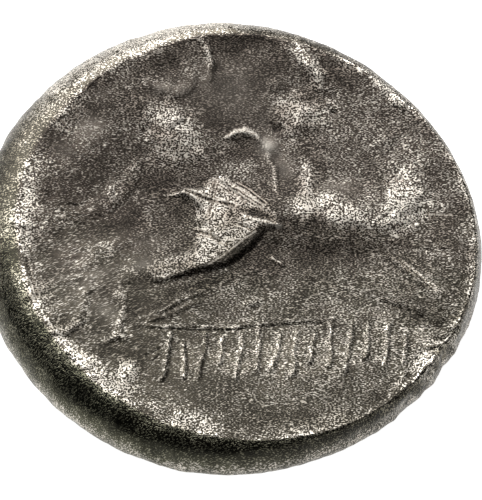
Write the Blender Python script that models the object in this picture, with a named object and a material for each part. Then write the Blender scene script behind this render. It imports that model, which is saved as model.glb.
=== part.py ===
"""An ancient hexadrachm: one thick, worn, struck silver coin, lying with its horseman side up.

The flan is a hammered lump of silver, a little oval, with a rounded edge whose shoulder is broad
on the left and narrow on the right. The upper face is slightly hollow and carries a galloping
horse and its rider above a line, with a row of shallow strokes below the line. The underside is
gently domed and worn flat in the middle. Units in the tables are millimetres. +X runs to the
right of the picture, +Y to its top, +Z up, and the origin is under the middle of the coin.
"""

import bmesh
import bpy
import numpy as np

MM = 0.001

# Driving dimensions of the flan
MEAN_RADIUS = 12.74
# The outline's swings, each (lobes, size, degrees of one lobe's peak): oval, then fainter ones
OUTLINE_SWINGS = [(2, 0.26, 128), (3, 0.09, 0), (4, 0.08, 83)]
# Broad bulges of the outline, each (degrees, half width in degrees, size)
OUTLINE_BULGES = [(84, 40, 0.16), (142, 22, 0.06), (-45, 30, 0.12)]
EDGE_HEIGHT = 3.7  # the crest of the rim above the table
BELLY_HEIGHT = 1.7  # where the rounded edge is widest
UNDER_RIM_HEIGHT = 0.45  # where the rounded edge meets the underside
UNDER_RIM_INSET = 1.3
UNDER_CURVE = 1.6  # how hollow the way from there to the flat is
FLAT_RADIUS = 5.4  # the worn flat that the coin lies on
DISH_DEPTH = 0.62  # the field's middle below the crest
DISH_CURVE = 2.4
BOX_MIDDLE = (0.09, 0.08)  # the middle of the flan's box in these tables, brought over the origin

# The shoulder between the crest and the widest line, seen from above
SHOULDER_MEAN = 1.28
SHOULDER_SWING = 0.98
SHOULDER_BROAD_AT = 165  # degrees from +X
SHOULDER_LEAST = 0.2
# Where the shoulder is pinched, each (degrees, half width in degrees, size)
SHOULDER_PINCHES = [(-60, 26, 0.26), (165, 26, 0.12), (203, 16, 0.2)]
# The edge is thin and sharp at the lower right, as (degrees, half width in degrees)
THIN_SIDE = (-42, 42)
THIN_EDGE_DROP = 0.25
THIN_BELLY_RISE = 0.5
THIN_CURVE = 4

# Dents in the rim, each (degrees, half width in degrees, size), half as deep at the widest line
RIM_DENTS = [(-24, 3.0, 0.10), (-33, 2.6, 0.20), (-39, 2.2, 0.14), (-46, 3.4, 0.10), (-118, 5, 0.06)]
LOWER_DENT_SHARE = 0.5

# Ridges of the relief, each point (x, y, half width, height)
RIDGES = {
    "tail": [(-4.6, 4.1, 0.5, 0.036), (-5, 3.1, 0.6, 0.072), (-5.6, 2.1, 0.5, 0.06),
             (-6.4, 1.4, 0.5, 0.048), (-7.8, 0.9, 0.6, 0.036), (-9, 0.3, 0.5, 0.024)],
    "far_thigh": [(-3.9, 1, 0.3, 0.024), (-4.1, 0.1, 0.4, 0.03), (-4.9, -0.1, 0.5, 0.03),
                  (-5.7, -0.6, 0.6, 0.036), (-6.5, -1.2, 0.7, 0.06), (-7.1, -1.7, 0.6, 0.048),
                  (-7.7, -2.5, 0.6, 0.036), (-8.6, -3, 0.5, 0.03), (-9.6, -3.5, 0.45, 0.024)],
    "far_hind_leg": [(-7, -2.8, 0.4, 0.024), (-7.1, -3.6, 0.36, 0.054), (-7.2, -4.3, 0.36, 0.048),
                     (-7.5, -5.3, 0.36, 0.054)],
    "far_hoof": [(-8.8, -5.9, 0.36, 0.08), (-8.1, -5.85, 0.42, 0.12), (-7.7, -5.5, 0.36, 0.1)],
    "near_hind_leg": [(-3.6, -2, 0.7, 0.108), (-4.6, -1.9, 0.7, 0.078), (-5, -2.4, 0.6, 0.054),
                      (-5.4, -3, 0.4, 0.042), (-5.3, -3.8, 0.5, 0.07), (-5.3, -4.5, 0.3, 0.054),
                      (-5.45, -5.3, 0.3, 0.054), (-5.5, -5.9, 0.36, 0.054)],
    "near_hoof": [(-6.0, -6.2, 0.36, 0.08), (-5.3, -6.05, 0.42, 0.1)],
    "barrel": [(0.4, 1.2, 1.9, 0.16), (2.6, 1.3, 2.0, 0.26), (5.6, 1.1, 2.1, 0.28), (8.2, 1.2, 1.9, 0.2)],
    "belly": [(2.2, 0.1, 0.9, 0.12), (5.0, -0.2, 1.0, 0.14), (8.0, -0.3, 0.9, 0.1)],
    "rider_waist": [(4.2, 3.9, 0.5, 0.056), (4.15, 3, 0.6, 0.14), (3.95, 2.3, 0.6, 0.14),
                    (3.7, 1.6, 0.6, 0.14), (3.9, 1, 0.5, 0.112)],
    "forehand": [(4.4, 1.7, 0.9, 0.18), (5.4, 1.55, 0.95, 0.19), (6.2, 0.95, 0.95, 0.2),
                 (6.8, 0.5, 0.75, 0.17), (7.0, 0.0, 0.5, 0.11)],
    "near_foreleg": [(7.9, -0.9, 0.35, 0.05), (8.7, -1.6, 0.4, 0.08), (9.4, -2.4, 0.42, 0.1),
                     (10.2, -3.3, 0.4, 0.09), (10.9, -4.2, 0.4, 0.08)],
    "far_foreleg": [(7.0, -3.2, 0.45, 0.05), (8.0, -3.85, 0.42, 0.08), (9.2, -3.95, 0.42, 0.1),
                    (9.7, -4.6, 0.42, 0.07)],
    "cloak_hook": [(-4, 8.7, 0.5, 0.07), (-3.4, 8.35, 0.6, 0.098), (-2.6, 8.1, 0.5, 0.07),
                   (-1.9, 8.6, 0.5, 0.07), (-1.9, 9.4, 0.5, 0.056), (-2.1, 10.2, 0.5, 0.035)],
    "cloak_edge": [(-6.4, 9.8, 1.1, 0.056), (-5.3, 8.5, 1.1, 0.07), (-4.7, 7.5, 1, 0.084),
                   (-4.2, 6.6, 0.9, 0.084)],
    "streamer": [(-1.9, 11.5, 0.3, 0.07), (-1.4, 11.3, 0.3, 0.1), (-1.05, 10.8, 0.3, 0.12),
                 (-1.0, 10.2, 0.3, 0.12), (-0.85, 9.6, 0.32, 0.1), (-0.8, 8.9, 0.34, 0.05)],
    "rider_arm": [(-0.1, 5.75, 0.2, 0.07), (0.4, 6.0, 0.28, 0.1), (0.9, 6.02, 0.34, 0.11),
                  (1.4, 5.8, 0.28, 0.1), (1.7, 5.3, 0.22, 0.08), (1.95, 4.6, 0.22, 0.08),
                  (2.35, 3.9, 0.24, 0.08), (2.4, 3.2, 0.26, 0.08), (2.5, 2.4, 0.26, 0.07)],
    "helmet_crest": [(3.6, 10.5, 0.4, 0.08), (4.1, 9.9, 0.5, 0.14), (4.7, 9.2, 0.5, 0.14),
                     (4.7, 8.5, 0.35, 0.06)],
    "ground_line": [(-4.3, -5.35, 0.16, 0.05), (-2.4, -5.42, 0.18, 0.08), (0.0, -5.35, 0.18, 0.08),
                    (2.4, -5.22, 0.18, 0.08), (4.9, -5.0, 0.16, 0.06)],
}
# Mounds of the relief, each (x, y, half length, half width, turn in degrees, height)
MOUNDS = {
    "rider_head": (3.7, 6.9, 1.7, 1.4, 20, 0.13),
    "rider_brow": (3.8, 8.1, 0.8, 0.6, 0, 0.1),
    "cloak_mass": (-2.8, 6.0, 2.4, 1.5, -80, 0.15),
    "cloak_top": (-2.8, 6.7, 0.9, 0.7, 80, 0.12),
    "cloak_fold": (-3.2, 5.4, 1.2, 0.6, -10, 0.1),
    "cloak_hem": (-2.0, 4.7, 0.9, 0.6, 0, 0.08),
    "neck_mass": (8.9, 1.7, 2.4, 1.3, 88, 0.08),
    "neck_front": (9.4, 1.6, 1.2, 0.5, 80, 0.08),
    "neck_back": (8.4, 1.6, 1.1, 0.4, 85, 0.06),
    "horse_head": (8.2, 5.4, 0.8, 0.55, 60, 0.07),
    "shoulder_lump": (5.3, 1.95, 0.6, 0.35, -30, 0.12),
    "breast_lump": (5.3, 0.95, 0.4, 0.3, 0, 0.1),
    "knee_lump": (6.6, 0.45, 0.5, 0.4, 0, 0.1),
    "rider_sleeve": (2.15, 5.1, 0.75, 0.6, -60, 0.12),
    "pellet": (-5.0, -8.0, 0.72, 0.72, 0, 0.07),
    "left_rim_lump": (-7.1, -7.7, 0.95, 0.6, -25, 0.06),
    "right_rim_lump": (8.8, 7.4, 0.8, 0.4, -35, 0.14),
    "upper_rim_lump": (8.0, 8.5, 0.9, 0.55, -45, 0.12),
    "ground_lump": (1.3, -3.9, 0.5, 0.4, 10, 0.08),
}
# The haunch stands highest: a worn plateau with a steep lower edge, lower where it meets the back
HAUNCH = [(-2.55, 2.42), (-2.1, 2.7), (-1.3, 2.85), (-1.0, 3.38), (-0.3, 3.5), (0.45, 3.08), (1.1, 2.65),
          (1.9, 1.75), (2.85, 0.3), (1.75, 0.1), (1.1, -0.4), (0.41, -1.0), (-0.28, -1.6), (-1.16, -2.05),
          (-2.9, -2.65), (-3.7, -2.8), (-4.3, -2.4), (-4.1, -1.6), (-2.9, -1.08), (-2.03, -0.78),
          (-1.62, -0.4), (-1.72, 0.91), (-1.8, 1.85)]
HAUNCH_HEIGHT = 0.3
HAUNCH_EDGE = (-0.22, 0.24)  # where its slope starts and ends, measured inwards from the outline
HAUNCH_FALL = 0.55  # how much lower it is at its top
HAUNCH_FALL_AT = (0.5, 3.4)
# Its lower left end runs down into the leg
LEG_DROP = 0.65
LEG_LEFT = (0.6, 3.8)
LEG_LOW = (0.2, 1.4)

# The row of strokes where the inscription was: plain leaning bars that stand apart
STROKE_COUNT = 14
STROKE_START = (-3.1, -7.2)
STROKE_STEP = (0.92, 0.055)
STROKE_LENGTH = 2.7
STROKE_HALF_WIDTH = 0.22
STROKE_HEIGHT = 0.13
STROKE_TAPER = 0.8
# In turn, each stroke's share of the full length, its rise and its sideways run for a millimetre up
STROKE_SHARES = [1.0, 0.72, 0.92, 0.6, 1.0]
STROKE_RISES = [0.0, -0.2, 0.05, 0.35, -0.05, 0.3]
STROKE_LEANS = [0.12, 0.02, 0.16, 0.07]

# How rounded ridges and mounds are, and how softly heights join where they meet
RIDGE_ROUNDNESS = 1.8
MOUND_ROUNDNESS = 1.5
JOIN_POWER = 3
# The relief fades and the unevenness dies out towards the crest, as powers of the share of the radius
RIM_FADE = 0.6
RIM_FADE_CURVE = 12
CALM_CURVE = 8

# Broad unevenness of the hammered field, each (waves per mm in x, in y, phase, height)
SWELLS = [(0.09, 0.05, 0.4, 0.05), (-0.06, 0.11, 1.9, 0.04), (0.17, -0.13, 0.8, 0.02)]
# The same for the worn underside
UNDER_SWELLS = [(0.11, 0.07, 2.0, 0.05), (-0.08, 0.13, 0.6, 0.04)]

# Mesh density, before the Decimate modifier spends the triangles where the relief is
FACE_SEGMENTS = 150
SHOULDER_ROWS = 8
LOWER_ROWS = 4
UNDER_ROWS = 5
KEPT_SHARE = 0.148


def bell(angle, centre, half_width):
    """A smooth hump over an angle in degrees, 1 at its centre."""
    away = (angle - centre + 180) % 360 - 180
    return np.exp(-((away / half_width) ** 2))


def smooth(value, low, high):
    """0 below low, 1 above high, and a soft step between."""
    part = np.clip((value - low) / (high - low), 0, 1)
    return part * part * (3 - 2 * part)


def outline_radius(angle):
    swings = [size * np.cos(np.radians(lobes * (angle - peak))) for lobes, size, peak in OUTLINE_SWINGS]
    bulges = [size * bell(angle, at, half) for at, half, size in OUTLINE_BULGES]
    return MEAN_RADIUS + sum(swings) + sum(bulges)


def shoulder_width(angle):
    width = SHOULDER_MEAN + SHOULDER_SWING * np.cos(np.radians(angle - SHOULDER_BROAD_AT))
    width = width - sum(size * bell(angle, at, half) for at, half, size in SHOULDER_PINCHES)
    return np.maximum(width, SHOULDER_LEAST)


def dent(angle):
    """How far the rim is knocked in."""
    return sum(size * bell(angle, at, half) for at, half, size in RIM_DENTS)


def crest_radius(angle):
    return outline_radius(angle) - shoulder_width(angle) - dent(angle)


def crest_height(angle):
    return EDGE_HEIGHT - THIN_EDGE_DROP * bell(angle, *THIN_SIDE)


def belly_height(angle):
    return BELLY_HEIGHT + THIN_BELLY_RISE * bell(angle, *THIN_SIDE)


def swell(x, y, waves):
    return sum(height * np.sin(2 * np.pi * (a * x + b * y) + phase) for a, b, phase, height in waves)


def nearest_on(x, y, start, end):
    """Distance to a straight piece, and how far along it the nearest point is."""
    run_x, run_y = end[0] - start[0], end[1] - start[1]
    along = np.clip(((x - start[0]) * run_x + (y - start[1]) * run_y) / (run_x**2 + run_y**2), 0, 1)
    return np.hypot(x - start[0] - along * run_x, y - start[1] - along * run_y), along


def ridge(x, y, route):
    """Height of a rounded ridge along a route of (x, y, half width, height)."""
    best = np.zeros_like(x)
    for start, end in zip(route, route[1:]):
        off, along = nearest_on(x, y, start, end)
        wide, high = (start[i] + along * (end[i] - start[i]) for i in (2, 3))
        best = np.maximum(best, high * np.clip(1 - (off / wide) ** 2, 0, 1) ** RIDGE_ROUNDNESS)
    return best


def mound(x, y, shape):
    """Height of a rounded oval mound."""
    x0, y0, long, wide, turn, high = shape
    cos, sin = np.cos(np.radians(turn)), np.sin(np.radians(turn))
    u = ((x - x0) * cos + (y - y0) * sin) / long
    v = ((y - y0) * cos - (x - x0) * sin) / wide
    return high * np.clip(1 - u**2 - v**2, 0, 1) ** MOUND_ROUNDNESS


def inside_distance(x, y, outline):
    """Distance to a closed outline, positive inside it."""
    nearest = np.full_like(x, np.inf)
    inside = np.zeros(x.shape, bool)
    for start, end in zip(outline, outline[1:] + outline[:1]):
        nearest = np.minimum(nearest, nearest_on(x, y, start, end)[0])
        if start[1] != end[1]:
            crossing = start[0] + (y - start[1]) * (end[0] - start[0]) / (end[1] - start[1])
            inside ^= ((start[1] > y) != (end[1] > y)) & (x < crossing)
    return np.where(inside, nearest, -nearest)


def haunch(x, y):
    """Height of the haunch, which falls towards its top and into the leg at its lower left."""
    leg = smooth(-x, *LEG_LEFT) * smooth(-y, *LEG_LOW)
    high = HAUNCH_HEIGHT * (1 - LEG_DROP * leg) * (1 - HAUNCH_FALL * smooth(y, *HAUNCH_FALL_AT))
    return high * smooth(inside_distance(x, y, HAUNCH), *HAUNCH_EDGE)


def strokes():
    """The routes of the leaning bars."""
    routes = []
    for i in range(STROKE_COUNT):
        x = STROKE_START[0] + STROKE_STEP[0] * i
        y = STROKE_START[1] + STROKE_STEP[1] * i + STROKE_RISES[i % len(STROKE_RISES)]
        half = 0.5 * STROKE_LENGTH * STROKE_SHARES[i % len(STROKE_SHARES)]
        lean = STROKE_LEANS[i % len(STROKE_LEANS)] * half
        low = (x - lean, y - half, STROKE_HALF_WIDTH, STROKE_HEIGHT)
        high = (x + lean, y + half, STROKE_TAPER * STROKE_HALF_WIDTH, STROKE_TAPER * STROKE_HEIGHT)
        routes.append([low, high])
    return routes


def relief(x, y):
    """The figures and strokes above the field, joined softly where they meet."""
    heights = [ridge(x, y, route) for route in [*RIDGES.values(), *strokes()]]
    heights += [mound(x, y, shape) for shape in MOUNDS.values()]
    heights.append(haunch(x, y))
    return sum(height**JOIN_POWER for height in heights) ** (1 / JOIN_POWER)


def face_height(x, y, angle, share):
    """Height of the struck face, where share is 0 at the middle of the coin and 1 at the crest."""
    crest = EDGE_HEIGHT + (crest_height(angle) - EDGE_HEIGHT) * share**THIN_CURVE
    field = crest - DISH_DEPTH * (1 - share**DISH_CURVE)
    calm = 1 - share**CALM_CURVE
    return field + swell(x, y, SWELLS) * calm + relief(x, y) * (1 - RIM_FADE * share**RIM_FADE_CURVE)


def coordinates(verts):
    return np.array([vert.co[:] for vert in verts])


def place(verts, x, y, z):
    for vert, px, py, pz in zip(verts, x, y, z):
        vert.co = (px * MM, py * MM, pz * MM)


def around(radius, angle):
    return radius * np.cos(np.radians(angle)), radius * np.sin(np.radians(angle))


def shape_face(bm):
    """Bends a square grid into the round struck face."""
    bmesh.ops.create_grid(bm, x_segments=FACE_SEGMENTS, y_segments=FACE_SEGMENTS, size=1)
    verts = list(bm.verts)
    square = coordinates(verts)
    u, v = square[:, 0], square[:, 1]
    disc_x, disc_y = u * np.sqrt(1 - v * v / 2), v * np.sqrt(1 - u * u / 2)
    angle = np.degrees(np.arctan2(disc_y, disc_x))
    share = np.clip(np.hypot(disc_x, disc_y), 0, 1)
    x, y = around(share * crest_radius(angle), angle)
    place(verts, x, y, face_height(x, y, angle, share))


def next_row(bm, rim):
    """Extrudes the open rim once, and gives the new rim's edges and vertices."""
    made = bmesh.ops.extrude_edge_only(bm, edges=rim)["geom"]
    edges = [item for item in made if isinstance(item, bmesh.types.BMEdge) and item.is_boundary]
    return edges, list(dict.fromkeys(vert for edge in edges for vert in edge.verts))


def shape_edge_and_underside(bm):
    """Carries the rim of the face down round the edge and in under the coin, and closes the flat."""
    rim = [edge for edge in bm.edges if edge.is_boundary]
    rows = [("shoulder", (row + 1) / SHOULDER_ROWS) for row in range(SHOULDER_ROWS)]
    rows += [("lower", (row + 1) / LOWER_ROWS) for row in range(LOWER_ROWS)]
    rows += [("under", (row + 1) / UNDER_ROWS) for row in range(UNDER_ROWS)]
    for part, step in rows:
        rim, verts = next_row(bm, rim)
        at = coordinates(verts)
        angle = np.degrees(np.arctan2(at[:, 1], at[:, 0]))
        widest = outline_radius(angle) - LOWER_DENT_SHARE * dent(angle)
        belly = belly_height(angle)
        turn = 0.5 * np.pi * step
        if part == "shoulder":
            x, y = around(widest - shoulder_width(angle) * (1 - np.sin(turn)), angle)
            height = belly + (crest_height(angle) - belly) * np.cos(turn)
        elif part == "lower":
            x, y = around(widest - UNDER_RIM_INSET * (1 - np.cos(turn)), angle)
            height = belly - (belly - UNDER_RIM_HEIGHT) * np.sin(turn)
        else:
            x, y = around((widest - UNDER_RIM_INSET) * (1 - step) + FLAT_RADIUS * step, angle)
            height = UNDER_RIM_HEIGHT * (1 - step) ** UNDER_CURVE
            height = height + np.abs(swell(x, y, UNDER_SWELLS)) * np.sin(np.pi * step)
        place(verts, x, y, height)
    bmesh.ops.contextual_create(bm, geom=rim)


def in_fixed_order(bm):
    """The same mesh with its faces sorted, because extruding makes them in a chance order."""
    bm.verts.index_update()
    faces = []
    for face in bm.faces:
        corners = [vert.index for vert in face.verts]
        first = corners.index(min(corners))
        faces.append(corners[first:] + corners[:first])
    ordered = bmesh.new()
    verts = [ordered.verts.new(vert.co) for vert in bm.verts]
    for corners in sorted(faces):
        ordered.faces.new([verts[index] for index in corners])
    bm.free()
    return ordered


def silver():
    material = bpy.data.materials.new("toned_silver")
    material.use_nodes = True
    shader = material.node_tree.nodes["Principled BSDF"]
    shader.inputs["Base Color"].default_value = (0.29, 0.27, 0.24, 1)
    shader.inputs["Metallic"].default_value = 0.9
    shader.inputs["Roughness"].default_value = 0.42
    return material


def make_coin(collection):
    bm = bmesh.new()
    shape_face(bm)
    shape_edge_and_underside(bm)
    bmesh.ops.recalc_face_normals(bm, faces=bm.faces)
    bmesh.ops.translate(bm, verts=bm.verts, vec=(-BOX_MIDDLE[0] * MM, -BOX_MIDDLE[1] * MM, 0))
    bm = in_fixed_order(bm)
    mesh = bpy.data.meshes.new("coin")
    bm.to_mesh(mesh)
    bm.free()
    mesh.shade_smooth()
    mesh.materials.append(silver())
    coin = bpy.data.objects.new("coin", mesh)
    collection.objects.link(coin)
    thin_out = coin.modifiers.new("thin_out", "DECIMATE")
    thin_out.ratio = KEPT_SHARE
    thin_out.use_collapse_triangulate = True


for old in list(bpy.data.objects):
    bpy.data.objects.remove(old, do_unlink=True)

hexadrachm = bpy.data.collections.new("hexadrachm")
bpy.context.scene.collection.children.link(hexadrachm)
make_coin(hexadrachm)
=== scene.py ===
"""An ancient hexadrachm, a thick and worn silver coin, lying on a pale floor with its horseman up."""

import math

import bmesh
import bpy
import numpy as np
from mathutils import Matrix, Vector


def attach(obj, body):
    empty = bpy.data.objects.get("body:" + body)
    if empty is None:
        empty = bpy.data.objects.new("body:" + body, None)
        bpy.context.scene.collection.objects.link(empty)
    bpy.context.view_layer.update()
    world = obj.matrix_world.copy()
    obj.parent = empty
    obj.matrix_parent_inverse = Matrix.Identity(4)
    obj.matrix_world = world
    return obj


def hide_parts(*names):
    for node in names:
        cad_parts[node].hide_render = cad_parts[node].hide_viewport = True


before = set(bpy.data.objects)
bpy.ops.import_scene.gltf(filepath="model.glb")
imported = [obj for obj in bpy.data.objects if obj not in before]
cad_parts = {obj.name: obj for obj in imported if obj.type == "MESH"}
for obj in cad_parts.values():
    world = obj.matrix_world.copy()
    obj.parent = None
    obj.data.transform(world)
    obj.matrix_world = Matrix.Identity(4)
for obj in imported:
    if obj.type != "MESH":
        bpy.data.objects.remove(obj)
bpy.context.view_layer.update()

# The flan
# The blank of the coin is a hammered lump of silver, a little oval and almost 4 mm thick.
# It was struck hot between two dies, so its edge swelled out and is broader on the left.

# Sizes are in millimetres from the coin's middle, and angles are degrees from +X
MM = 0.001
MEAN_RADIUS = 12.74
# Swings of the outline, each (lobes, size, degrees of one lobe's peak)
OUTLINE_SWINGS = [(2, 0.26, 128), (3, 0.09, 0), (4, 0.08, 83)]
# Broad bulges of the outline, each (degrees, half width in degrees, size)
OUTLINE_BULGES = [(84, 40, 0.16), (142, 22, 0.06), (-45, 30, 0.12)]
EDGE_HEIGHT = 3.7  # the crest of the rim above the table
BELLY_HEIGHT = 1.7  # where the rounded edge is widest
UNDER_RIM_HEIGHT = 0.45  # where the rounded edge meets the underside
UNDER_RIM_INSET = 1.3
UNDER_CURVE = 1.6  # how hollow the way from there to the flat is
FLAT_RADIUS = 5.4  # the worn flat that the coin lies on
DISH_DEPTH = 0.62  # the field's middle below the crest
DISH_CURVE = 2.4
BOX_MIDDLE = (0.09, 0.08)  # the middle of the flan's box, which is moved over the origin
# The shoulder between the crest and the widest line, seen from above
SHOULDER_MEAN = 1.28
SHOULDER_SWING = 0.98
SHOULDER_BROAD_AT = 165
SHOULDER_LEAST = 0.2
# Where the shoulder is pinched, each (degrees, half width in degrees, size)
SHOULDER_PINCHES = [(-60, 26, 0.26), (165, 26, 0.12), (203, 16, 0.2)]
# The edge is thin and sharp at the lower right, as (degrees, half width in degrees)
THIN_SIDE = (-42, 42)
THIN_EDGE_DROP = 0.25
THIN_BELLY_RISE = 0.5
THIN_CURVE = 4
# Dents in the rim, each (degrees, half width in degrees, size), half as deep at the widest line
RIM_DENTS = [(-24, 3.0, 0.10), (-33, 2.6, 0.20), (-39, 2.2, 0.14), (-46, 3.4, 0.10), (-118, 5, 0.06)]
LOWER_DENT_SHARE = 0.5
# How far the crest wavers in and out
CREST_WAVE = 0.09
# Broad unevenness of the hammered field, each (waves per mm in x, in y, phase, height)
SWELLS = [(0.09, 0.05, 0.4, 0.05), (-0.06, 0.11, 1.9, 0.04), (0.17, -0.13, 0.8, 0.02)]
CALM_CURVE = 8  # it dies out towards the crest
# The same for the worn underside
UNDER_SWELLS = [(0.11, 0.07, 2.0, 0.05), (-0.08, 0.13, 0.6, 0.04)]
# Cells across the face, and rings of cells down the edge and in under the coin
FACE_CELLS = 256
SHOULDER_ROWS = 13
LOWER_ROWS = 9
UNDER_ROWS = 7
FLAT_ROWS = 3
# Cells each way in the tables of random unevenness, which repeat after that
LATTICE = 48


def peak(value, centre, half_width):
    """A smooth hump, 1 at its centre."""
    return np.exp(-(((value - centre) / half_width) ** 2))


def bell(angle, centre, half_width):
    """The same over an angle in degrees, carried on round the coin."""
    return peak((angle - centre + 180) % 360 - 180, 0, half_width)


def smooth(value, low, high):
    """0 below low, 1 above high, and a soft step between."""
    part = np.clip((value - low) / (high - low), 0, 1)
    return part * part * (3 - 2 * part)


def lumps(points, size, seed):
    """Smooth random unevenness from -1 to 1, with its bumps about size apart."""
    table = np.random.default_rng(seed).uniform(-1, 1, (LATTICE, LATTICE, LATTICE))
    at = points / size
    cell = np.floor(at).astype(int)
    part = at - cell
    part = part * part * (3 - 2 * part)
    total = np.zeros(len(points))
    for corner in np.ndindex(2, 2, 2):
        weight = np.prod(np.where(corner, part, 1 - part), axis=1)
        index = (cell + corner) % LATTICE
        total += weight * table[index[:, 0], index[:, 1], index[:, 2]]
    return total


def mottled(points, layers, level=0.0):
    """Random unevenness in layers, each (size, bumps apart, seed), round a level."""
    return sum((size * lumps(points, apart, seed) for size, apart, seed in layers), level)


def around(radius, angle):
    return radius * np.cos(np.radians(angle)), radius * np.sin(np.radians(angle))


def on_plan(x, y):
    return np.stack([x, y, np.zeros_like(x)], axis=1)


def swell(x, y, waves):
    return sum(height * np.sin(2 * np.pi * (a * x + b * y) + phase) for a, b, phase, height in waves)


def outline_radius(angle):
    swings = [size * np.cos(np.radians(lobes * (angle - top))) for lobes, size, top in OUTLINE_SWINGS]
    bulges = [size * bell(angle, at, half) for at, half, size in OUTLINE_BULGES]
    return MEAN_RADIUS + sum(swings) + sum(bulges)


def shoulder_width(angle):
    width = SHOULDER_MEAN + SHOULDER_SWING * np.cos(np.radians(angle - SHOULDER_BROAD_AT))
    width = width - sum(size * bell(angle, at, half) for at, half, size in SHOULDER_PINCHES)
    return np.maximum(width, SHOULDER_LEAST)


def dent(angle):
    """How far the rim is knocked in."""
    return sum(size * bell(angle, at, half) for at, half, size in RIM_DENTS)


def crest_wave(angle):
    """Small unevenness of the crest, about a millimetre and a half long."""
    cells = angle / 360 * LATTICE
    return CREST_WAVE * lumps(np.stack([cells, 0 * cells, 0 * cells], axis=1), size=1, seed=40)


def crest_radius(angle):
    return outline_radius(angle) - shoulder_width(angle) - dent(angle) - crest_wave(angle)


def crest_height(angle):
    return EDGE_HEIGHT - THIN_EDGE_DROP * bell(angle, *THIN_SIDE)


def belly_height(angle):
    return BELLY_HEIGHT + THIN_BELLY_RISE * bell(angle, *THIN_SIDE)


def field_height(x, y, angle, share):
    """The slightly hollow field, where share is 0 at the middle of the coin and 1 at the crest."""
    crest = EDGE_HEIGHT + (crest_height(angle) - EDGE_HEIGHT) * share**THIN_CURVE
    field = crest - DISH_DEPTH * (1 - share**DISH_CURVE)
    return field + swell(x, y, SWELLS) * (1 - share**CALM_CURVE)


def edge_and_underside(angle, row):
    """Radius and height of the rounded edge and the underside, by ring of the pattern."""
    widest = outline_radius(angle) - LOWER_DENT_SHARE * dent(angle)
    turn = 0.5 * np.pi * np.clip(row / SHOULDER_ROWS, 0, 1)
    radius = widest - shoulder_width(angle) * (1 - np.sin(turn))
    belly = belly_height(angle)
    height = belly + (crest_height(angle) - belly) * np.cos(turn)
    lower = np.clip((row - SHOULDER_ROWS) / LOWER_ROWS, 0, 1)
    turn = 0.5 * np.pi * lower
    radius = np.where(lower > 0, widest - UNDER_RIM_INSET * (1 - np.cos(turn)), radius)
    height = np.where(lower > 0, belly - (belly - UNDER_RIM_HEIGHT) * np.sin(turn), height)
    under = np.clip((row - SHOULDER_ROWS - LOWER_ROWS) / UNDER_ROWS, 0, 1)
    under_radius = (widest - UNDER_RIM_INSET) * (1 - under) + FLAT_RADIUS * under
    radius = np.where(under > 0, under_radius, radius)
    under_height = UNDER_RIM_HEIGHT * (1 - under) ** UNDER_CURVE
    under_height += np.abs(swell(*around(radius, angle), UNDER_SWELLS)) * np.sin(np.pi * under)
    height = np.where(under > 0, under_height, height)
    inner = np.clip((row - SHOULDER_ROWS - LOWER_ROWS - UNDER_ROWS) / (FLAT_ROWS + 1), 0, 1)
    return radius * (1 - inner), height


def in_fixed_order(bm):
    """The same mesh with its faces sorted, because extruding makes them in a chance order."""
    bm.verts.index_update()
    faces = sorted([vert.index for vert in face.verts] for face in bm.faces)
    ordered = bmesh.new()
    verts = [ordered.verts.new(vert.co) for vert in bm.verts]
    for corners in faces:
        ordered.faces.new([verts[index] for index in corners])
    bm.free()
    return ordered


def blank_pattern():
    """A flat disc of cells with rings of cells round it, one unit apart, for the edge and underside."""
    bm = bmesh.new()
    bmesh.ops.create_grid(bm, x_segments=FACE_CELLS, y_segments=FACE_CELLS, size=1)
    for vert in bm.verts:
        u, v = vert.co.x, vert.co.y
        vert.co.x = u * math.sqrt(1 - v * v / 2)
        vert.co.y = v * math.sqrt(1 - u * u / 2)
    rim = [edge for edge in bm.edges if edge.is_boundary]
    for row in range(1, SHOULDER_ROWS + LOWER_ROWS + UNDER_ROWS + FLAT_ROWS + 1):
        made = bmesh.ops.extrude_edge_only(bm, edges=rim)["geom"]
        rim = [item for item in made if isinstance(item, bmesh.types.BMEdge) and item.is_boundary]
        for vert in {vert for edge in rim for vert in edge.verts}:
            vert.co *= (row + 1) / row
    bmesh.ops.contextual_create(bm, geom=rim)
    bmesh.ops.recalc_face_normals(bm, faces=bm.faces)
    bm = in_fixed_order(bm)
    mesh = bpy.data.meshes.new("struck_coin")
    bm.to_mesh(mesh)
    bm.free()
    return mesh


# The struck picture
# A galloping horse and its rider stand in low relief above a line, with a plain row of strokes.
# The die drove the silver up into them, and handling then wore them down to soft, rubbed humps.

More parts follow.
